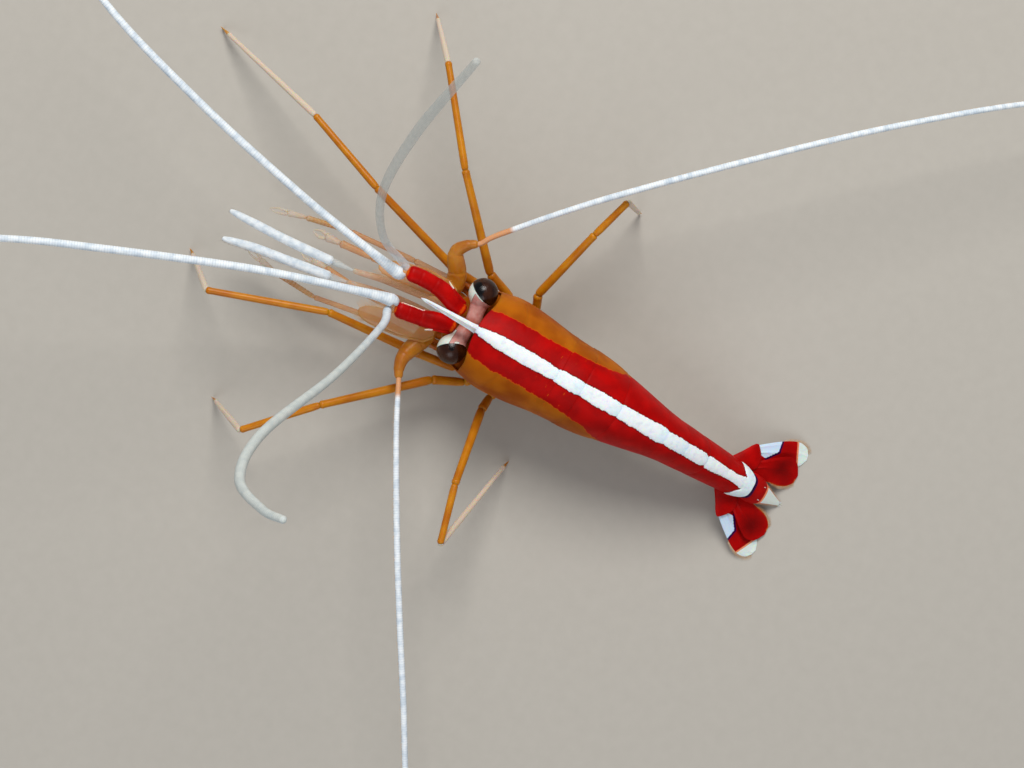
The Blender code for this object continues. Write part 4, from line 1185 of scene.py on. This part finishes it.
def add_leg(side, number, finish):
    joints = [np.array(point, float) for point in LEGS[side, number]]
    shape = Shape("pale")
    if number > 2:
        radii = WALKING_LEG_RADII
        pale = (0.0, 0.0, 0.0, 0.0, 0.1, 0.9, 0.9)
    else:
        radii = CLAW_LEG_RADII if number == 1 else LONG_CLAW_LEG_RADII
        pale = (0.0, 0.0, 0.0, 0.1, 0.4, 0.8)
    last = len(joints) - 2
    for index in range(last):
        outermost = index == last - 1
        bow = 0.1 if number == 2 and outermost else 0.0
        tints = (0.75, 0.95) if number > 2 and outermost else (pale[index], pale[index + 1])
        article(shape, joints[index], joints[index + 1], radii[index] * 1.03, radii[index + 1] * 1.02,
                bow=bow, pale=tints)
    hand_end = joints[last]
    tip = joints[last + 1]
    if number > 2:
        along = unit(hand_end - joints[last - 1])
        aside = unit(np.cross(along, (0, 0, 1)))
        claw_finger(shape, hand_end - along * 0.2, tip, along * 0.10, radii[last] * 0.92, pale=0.35)
        second_root = hand_end + (tip - hand_end) * 0.45
        second_tip = tip + np.cross(aside, along) * 0.30 + (0, 0, 0.28)
        claw_finger(shape, second_root, second_tip, (0, 0, 0), radii[last] * 0.4, pale=0.3)
        spines(shape, joints[last - 1], hand_end, radii[last], 7, -np.cross(aside, along), pale=0.3)
        spines(shape, joints[last - 3], joints[last - 2], radii[last - 2], 4, (0, 0, -1), pale=0.1)
    else:
        along = unit(tip - hand_end)
        aside = unit(np.cross(along, (0, 0, 1)))
        palm_end = hand_end + (tip - hand_end) * 0.5
        article(shape, hand_end, palm_end, radii[last] * 0.8, radii[last] * 1.25, pale=(0.5, 0.8))
        for way in (-1, 1):
            claw_finger(shape, palm_end + aside * way * radii[last] * 0.5, tip + aside * way * 0.06,
                        aside * way * radii[last] * 0.55, radii[last] * 0.62, pale=0.9)
    if number == 2:
        first = joints[last - 1]
        for index in range(1, 12):
            place = first + (hand_end - first) * index / 12
            along = unit(hand_end - first)
            tube(shape, np.linspace(place - along * 0.07, place + along * 0.07, 5),
                 np.full(5, 0.37) * (0.86, 1.0, 1.06, 1.0, 0.86), sides=18, round_ends=False, pale=0.45)
    shape.finish(f"leg_{number}_limb_{side}", finish, "limb_amber", f"leg_{number}_{side}")


def add_maxilliped(side, clear_finish, haze_finish, white_finish):
    """The third maxilliped: an amber thigh, a clear pointed joint and a long white rod with a brush."""
    points = MAXILLIPEDS[side]
    route = smooth_route(points, 0.10)
    reach = np.append(0, np.cumsum(np.linalg.norm(np.diff(route, axis=0), axis=1)))
    knee = np.argmin(np.linalg.norm(route - np.array(points[3]) + (0, 0.6, 0), axis=1))
    elbow = np.argmin(np.linalg.norm(route - np.array(points[4]), axis=1))
    shape = Shape("pale")
    radii = np.interp(reach, reach[[0, knee // 2, knee]], (0.62, 0.60, 0.34))
    tube(shape, route[:knee + 1], radii[:knee + 1], sides=18, pale=np.linspace(0, 0.6, knee + 1))
    shape.finish(f"maxilliped_thigh_{side}", clear_finish, "limb_amber", f"maxilliped_{side}")
    shape = Shape("ring", "haze", "amber")
    joint = route[knee - 3:elbow + 4]
    tube(shape, joint, spread((0.14, 0.28, 0.42, 0.52), len(joint)), sides=18, haze=0.4)
    shape.finish(f"maxilliped_joint_{side}", haze_finish, "feeler_white", f"maxilliped_{side}")
    shape = Shape("ring", "haze", "amber")
    rod = route[elbow - 1:]
    share = np.linspace(0, 1, len(rod))
    radii = np.interp(share, (0, 0.03, 0.3, 0.75, 0.93, 1.0), (0.52, 0.60, 0.63, 0.57, 0.44, 0.26))
    radii = radii * (1 - 0.08 * hump(share, 0.56, 0.008))
    tube(shape, rod, radii, sides=20, haze=0.0, ring=0.0, amber=0.0)
    shape.finish(f"maxilliped_rod_{side}", white_finish, "feeler_white", f"maxilliped_{side}")
    return rod, radii


# The swimmerets: distance out from the midline, length, and how far they lean back for their length.
PLEOPODS = ((2.7, 4.4, 0.55), (2.6, 4.6, 0.65), (2.0, 4.4, 0.75), (1.7, 3.8, 0.85), (1.55, 3.3, 0.95))


def add_pleopods(side, finish):
    """Five swimmerets: a short stem each, and two leaves, whose edges are kept for their bristles."""
    edges = []
    for number, (out, length, lean) in enumerate(PLEOPODS, start=1):
        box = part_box(f"pleopod_{number}_{side}")
        low, high = (np.array(corner) / MM - np.array(SHIFT) for corner in box)
        sweep = lean * length
        top = mirrored((out, low[1] + 0.35, high[2] + 0.5), side)
        middle = top + mirrored((0.15, 0.35 * sweep, -0.45 * length), side)
        tip = top + mirrored((0.2, 1.05 * sweep, -0.85 * length - 0.45), side)
        shape = Shape("pale")
        article(shape, top, middle, 0.5, 0.42, pale=0.1)
        for aside, reach in ((0.28, 1.0), (-0.30, 0.86)):
            leaf = smooth_route([middle, (middle + tip) / 2 + mirrored((aside, 0, 0), side),
                                 middle + (tip - middle) * reach + mirrored((aside * 1.2, 0, 0), side)], 0.10)
            share = np.linspace(0, 1, len(leaf))
            half_width = 0.62 * np.sin(np.pi * np.clip(share * 0.86 + 0.10, 0, 1)) ** 0.7
            rows = tube(shape, leaf, half_width, np.full(len(leaf), 0.09), up=(0.25, 1.0, 0.4), sides=18,
                        pale=0.35)
            edges.append((rows[:, 0], rows[:, 9], leaf))
        shape.finish(f"swimmeret_{number}_{side}", finish, "limb_amber", f"pleopod_{number}_{side}")
    return edges


# ---------------------------------------------------------------- tail fan

TELSON = ((0, 47.5, 5.5), (0, 51.3, 2.5), (0, 54.0, 0.17))
MOON_EDGE = 51.15           # where the telson's red ends on the midline
# Outlines of the fan's parts on the animal's left: outer edge, inner edge, each from root to tip.
FAN_PARTS = {
    "protopod": (((2.3, 44.8, 4.4), (3.7, 45.8, 4.1), (5.1, 46.7, 3.7), (5.5, 47.3, 3.4), (4.9, 48.0, 3.1)),
                 ((1.2, 46.2, 4.3), (1.6, 47.4, 4.0), (2.1, 48.3, 3.6), (3.0, 48.8, 3.2), (3.9, 48.7, 3.0))),
    "outer": (((4.9, 46.8, 3.1), (6.2, 48.4, 2.5), (7.3, 49.9, 1.8), (8.1, 51.2, 1.1), (8.55, 52.5, 0.55),
               (8.35, 53.6, 0.22), (7.7, 54.2, 0.12)),
              ((2.9, 47.6, 2.9), (3.4, 49.2, 2.3), (3.9, 50.7, 1.6), (4.4, 52.0, 0.9), (5.0, 53.2, 0.4),
               (5.9, 54.0, 0.16), (6.9, 54.4, 0.12))),
    "inner": (((2.6, 47.3, 3.4), (4.2, 49.2, 2.9), (5.6, 51.0, 2.2), (6.2, 52.3, 1.5), (5.8, 53.5, 0.8),
               (4.6, 54.35, 0.3)),
              ((0.9, 47.8, 3.5), (1.5, 49.6, 2.8), (1.75, 51.2, 2.0), (1.95, 52.5, 1.2), (2.5, 53.6, 0.5),
               (3.4, 54.35, 0.2))),
}
FAN_THICKNESS = {"protopod": (0.75, 0.5), "outer": (0.34, 0.14), "inner": (0.30, 0.12)}
BLUE_PATCH = ((4.6, 46.9), (5.6, 47.3), (7.9, 50.0), (6.0, 50.35), (4.35, 49.1))
TIP_LINE = ((0.447, 0.894), 50.45)      # beyond this line an outer blade is white


def inside_polygon(x, y, corners):
    """How many millimetres each place lies inside an outline of straight edges that bulges outward."""
    corners = np.array(corners, float)
    middle = corners.mean(axis=0)
    depth = np.full(np.shape(x), 99.0)
    for start, end in zip(corners, np.roll(corners, -1, axis=0)):
        normal = np.array((end[1] - start[1], start[0] - end[0]))
        normal = normal / np.linalg.norm(normal)
        if np.dot(middle - start, normal) < 0:
            normal = -normal
        depth = np.minimum(depth, (x - start[0]) * normal[0] + (y - start[1]) * normal[1])
    return depth


def add_telson(finish):
    """A tapering plate: red half-moon, orange rim, white tip with clear sides, small spines."""
    route = smooth_route(TELSON, 0.06)
    y = route[:, 1]
    half_width = np.interp(y, (47.5, 49.0, 50.2, 51.1, 52.2, 53.4, 54.0),
                           (1.75, 1.98, 1.86, 1.42, 0.98, 0.52, 0.30))
    half_height = np.interp(y, (47.5, 49.0, 51.5, 54.0), (0.62, 0.60, 0.40, 0.12))
    sides = 48
    angles = 2 * np.pi * np.arange(sides) / sides
    x = half_width[:, None] * np.cos(angles)[None]
    place = y[:, None] + 0 * x
    moon = place - MOON_EDGE + 0.06 * x ** 4
    seam = place - (TAIL_END - TAIL_END_CURVE * x ** 4)
    tip = smoothstep(moon, 0.05, 0.2)
    flank = smoothstep(np.abs(x) / np.maximum(half_width[:, None], 0.1), 0.72, 0.95)
    shape = Shape("white", "blue", "clear", "violet", "rim", "deep")
    # violet here is a painted shadow: a dark band on the telson just behind the rear edge of the last somite,
    # which overlaps it.
    rows = tube(shape, route, half_width, half_height, sides=sides, power=2.3, white=tip * (1 - flank),
                clear=tip * flank, violet=0.9 * smoothstep(seam, 0.42, 0.22), rim=hump(moon, 0.0, 0.16))
    for where in (50.6, 52.3):
        index = int(np.argmin(np.abs(y - where)))
        for way in (-1, 1):
            root = route[index] + (way * half_width[index] * 0.55, 0, half_height[index] * 0.85)
            thorn(shape, root, root + (way * 0.05, 0.42, 0.02), (0.07, 0.015), white=1.0)
    end = route[-1]
    for way, length in ((-1, 0.42), (1, 0.42), (-0.45, 0.62), (0.45, 0.62)):
        root = end + (way * 0.22, -0.12, 0.0)
        thorn(shape, root, root + (way * 0.12, length, -0.02), (0.06, 0.015), white=1.0)
    shape.finish("telson_plate", finish, "shell_red", "telson")
    return rows[:, 0], rows[:, sides // 2], route


def fan_part(shape, side, kind):
    """A plate between its outer and inner edge, thickest along its rib, with its markings."""
    count = 90
    outer, inner = (smooth_route([mirrored(point, side) for point in edge], 0.02) for edge in FAN_PARTS[kind])
    outer, inner = (np.stack([spread(edge[:, axis], count) for axis in range(3)], axis=1)
                    for edge in (outer, inner))
    thick = np.interp(np.linspace(0, 1, count), (0, 1), FAN_THICKNESS[kind])[:, None]
    across = 0.5 - 0.5 * np.cos(np.linspace(0, np.pi, 30))
    lens = np.sqrt(np.maximum(1 - (2 * across - 1) ** 2, 0.0))
    rib = 0.45 * hump(across, 0.42, 0.05) + 0.25 * hump(across, 0.12, 0.03)
    sheet = outer[:, None] + (inner - outer)[:, None] * across[None, :, None]
    top = sheet + np.array((0, 0, 1)) * (thick * (0.5 * lens + rib * (kind != "protopod")))[..., None]
    bottom = sheet[:, ::-1] - np.array((0, 0, 1)) * (thick * 0.5 * lens[::-1])[..., None]
    grid = np.concatenate((top, bottom[:, 1:-1]), axis=1)
    grid[..., 2] = np.maximum(grid[..., 2], 0.02)
    x = np.abs(grid[..., 0])
    y = grid[..., 1]
    tip_distance = TIP_LINE[0][0] * x + TIP_LINE[0][1] * y - TIP_LINE[1]
    values = {"deep": 0.75 * np.exp(-((x - 4.4) ** 2 + (y - 51.8) ** 2) / 1.7 ** 2)}
    if kind == "outer":
        patch = inside_polygon(x, y, BLUE_PATCH)
        # Painted shade: on the left blade the patch is laid at 0.8 strength, greyer than the right one.
        values["blue"] = smoothstep(patch, -0.06, 0.06) * (1.0 if side == "right" else 0.8)
        values["violet"] = hump(patch, -0.12, 0.2) * smoothstep(y, 48.6, 49.4)
        values["white"] = smoothstep(tip_distance, 0.0, 0.12)
        values["rim"] = hump(tip_distance, -0.05, 0.16)
    elif kind == "inner":
        near = np.concatenate((1 - across, (1 - across)[-2:0:-1]))[None]
        rear = np.linspace(1, 0, count)[:, None] * 3.2 + 1.5 * smoothstep(near, 0.45, 0.8)
        edge = np.minimum(rear, near * 3.0)
        values["clear"] = 0.8 * smoothstep(edge, 0.26, 0.0) * smoothstep(y, 49.5, 51.5)
    shape.grid(grid, **values)
    return outer, inner, (outer + inner) / 2


def add_uropod(side, finish):
    """The two blades of one side, hung on their broad base plate."""
    lines = []
    for kind in ("outer", "inner"):
        shape = Shape("white", "blue", "clear", "violet", "rim", "deep")
        lines.append(fan_part(shape, side, kind))
        shape.finish(f"tail_{kind}_{side}", finish, "shell_red", f"uropod_{kind}_{side}")
    shape = Shape("white", "blue", "clear", "violet", "rim", "deep")
    fan_part(shape, side, "protopod")
    shape.finish(f"tail_base_{side}", finish, "shell_red", f"uropod_outer_{side}")
    return lines


# ---------------------------------------------------------------- bristles

SPOT = 0.003                # the width of one bristle's patch on the bake map


class Coat(Shape):
    """Bristles as solid mesh. Each has a small patch at its root's place on an unwrap of its host."""

    def __init__(self, columns):
        super().__init__()
        self.hosts = 0
        self.columns = columns

    def bristle(self, root, way, length, radius, place):
        """A three-sided bristle that thins towards its point; place is its patch on the map."""
        root = np.asarray(root, float)
        way = unit(way)
        side = unit(np.cross(way, (0.31, 0.57, 0.76)))
        other = np.cross(way, side)
        points = []
        steps = (0.0, 0.45, 0.8)
        for step in steps:
            middle = root + way * length * step
            for corner in range(3):
                turn = 2 * math.pi * corner / 3
                spoke = side * math.cos(turn) + other * math.sin(turn)
                points.append(middle + spoke * radius * (1 - 0.75 * step))
        points.append(root + way * length)
        faces = [(2, 1, 0)]
        for row in range(len(steps) - 1):
            for corner in range(3):
                low = row * 3
                following = (corner + 1) % 3
                faces.append((low + corner, low + following, low + 3 + following, low + 3 + corner))
        faces.extend((6 + corner, 6 + (corner + 1) % 3, 9) for corner in range(3))
        self.add(points, faces, {})
        spots = [(place[0] + SPOT * (index % 3) / 3, place[1] + SPOT * (index // 3) / 3)
                 for index in range(len(points))]
        self.spots.append(np.array(spots))

    def host(self):
        """The corner and width of the next host's own square on the map."""
        index = self.hosts
        self.hosts += 1
        cell = 1 / self.columns
        corner = (index % self.columns * cell + SPOT, index // self.columns % self.columns * cell + SPOT)
        return corner, cell - 3 * SPOT


def fringe(coat, edge, middle, length, count, start, end, lean, radius):
    """Bristles along an edge, pointing away from the middle line and back along the blade."""
    corner, width = coat.host()
    edge = np.asarray(edge, float)
    middle = np.asarray(middle, float)
    along = unit(np.gradient(middle, axis=0))
    for index in range(count):
        share = start + (end - start) * (index + random.random() * 0.6) / count
        place = share * (len(edge) - 1)
        low = min(int(place), len(edge) - 2)
        root = edge[low] + (edge[low + 1] - edge[low]) * (place - low)
        out = unit(root - middle[low])
        way = out * (1 - lean) + along[low] * lean + np.array([random.uniform(-0.06, 0.06) for _ in range(3)])
        spot = (corner[0] + width * share, corner[1] + width * (0.1 + 0.2 * (index % 5)))
        coat.bristle(root - out * 0.05, way, length * random.uniform(0.8, 1.1), radius, spot)


def brush(coat, route, radii, count, length, start, end, below, lean=0.6, width_angle=0.9, radius=0.024):
    """Bristles on one side of a limb, leaning towards its tip."""
    corner, width = coat.host()
    route = np.asarray(route, float)
    along = unit(np.gradient(route, axis=0))
    for index in range(count):
        share = start + (end - start) * (index + random.random()) / count
        place = min(int(share * (len(route) - 1)), len(route) - 1)
        base = unit(np.asarray(below, float) - along[place] * float(np.dot(below, along[place])))
        other = np.cross(along[place], base)
        turn = random.uniform(-width_angle, width_angle)
        out = base * math.cos(turn) + other * math.sin(turn)
        way = out * (1 - lean) + along[place] * lean
        root = route[place] + out * radii[place] * 0.9
        spot = (corner[0] + width * share, corner[1] + width * (0.5 + turn / 4))
        coat.bristle(root, way, length * random.uniform(0.6, 1.15), radius, spot)


# ---------------------------------------------------------------- assembly

add_camera()
add_studio()
SHELL = make_shell_finish()
AMBER = make_amber_finish("amber", AMBER_LIGHT, AMBER_DEEP, srgb(226, 190, 150))
SOFT = make_amber_finish("amber_soft", srgb(210, 138, 40), srgb(180, 106, 22), alpha=0.8)
LIMB = make_amber_finish("limb", LEG_AMBER, srgb(186, 108, 22), LEG_PALE)
CLEAR = make_amber_finish("clear_skin", srgb(220, 160, 84), srgb(206, 134, 56), LEG_PALE, alpha=0.5)
FEELER = make_feeler_finish("feeler")
HAZES = {"left": make_feeler_finish("feeler_soft", 0.85), "right": make_feeler_finish("feeler_clear", 0.38)}
PEDUNCLE = make_peduncle_finish()
STALK = make_stalk_finish()
EYE = make_eye_finish()
TAIL = make_tail_finish()
AMBER_BRISTLE = make_bristle_finish("bristle_amber", srgb(196, 142, 92), srgb(222, 190, 150))
WHITE_BRISTLE = make_bristle_finish("bristle_white", srgb(150, 140, 130), srgb(196, 190, 180))

add_carapace(SHELL)
add_somites(SHELL)
add_rostrum(SHELL)
add_head(AMBER)
add_breastplate(AMBER)
tail_coat = Coat(4)
telson_edges = add_telson(TAIL)
for edge in telson_edges[:2]:
    fringe(tail_coat, edge, telson_edges[2], 0.5, 34, 0.55, 0.98, 0.75, 0.016)
scale_coat = Coat(2)
rod_coat = Coat(2)
swim_coat = Coat(7)
feeler_coat = Coat(2)
for body_side in SIDES:
    add_eye(body_side, EYE, STALK)
    stem = add_peduncle(body_side, PEDUNCLE)
    add_antennules(body_side, stem, FEELER, HAZES)
    antenna, antenna_radii = add_antenna(body_side, SOFT, FEELER)
    below = (0.2, -0.75, -0.4) if body_side == "left" else (-0.5, -0.6, -0.5)
    brush(feeler_coat, antenna, antenna_radii, 1500, 0.28, 0.02, 0.98, below, 0.45, 1.2, 0.014)
    outer, inner, middle = add_scale(body_side, CLEAR)
    fringe(scale_coat, inner, middle, 1.1, 150, 0.25, 0.99, 0.55, 0.016)
    fringe(scale_coat, outer, middle, 0.9, 30, 0.86, 0.995, 0.7, 0.016)
    for leg in range(1, 6):
        add_leg(body_side, leg, LIMB if leg > 2 else CLEAR)
    rod, rod_radii = add_maxilliped(body_side, CLEAR, HAZES["right"], FEELER)
    down = (0.3 if body_side == "left" else -0.3, 0.0, -1.0)
    brush(rod_coat, rod, rod_radii, 900, 0.62, 0.02, 1.0, down, radius=0.016)
    for left_edge, right_edge, leaf in add_pleopods(body_side, CLEAR):
        fringe(swim_coat, left_edge, leaf, 0.8, 44, 0.2, 1.0, 0.6, 0.018)
        fringe(swim_coat, right_edge, leaf, 0.8, 44, 0.2, 1.0, 0.6, 0.018)
    blades = add_uropod(body_side, TAIL)
    for edge, line in ((blades[0][0], blades[0][2]), (blades[1][1], blades[1][2])):
        fringe(tail_coat, edge, line, 0.6, 130, 0.5, 0.995, 0.5, 0.013)
tail_coat.finish("bristles_tail", AMBER_BRISTLE, "limb_amber")
scale_coat.finish("bristles_scales", AMBER_BRISTLE, "limb_amber")
rod_coat.finish("bristles_maxillipeds", WHITE_BRISTLE, "feeler_white")
swim_coat.finish("bristles_swimmerets", AMBER_BRISTLE, "limb_amber")
feeler_coat.finish("bristles_antennae", AMBER_BRISTLE, "limb_amber")
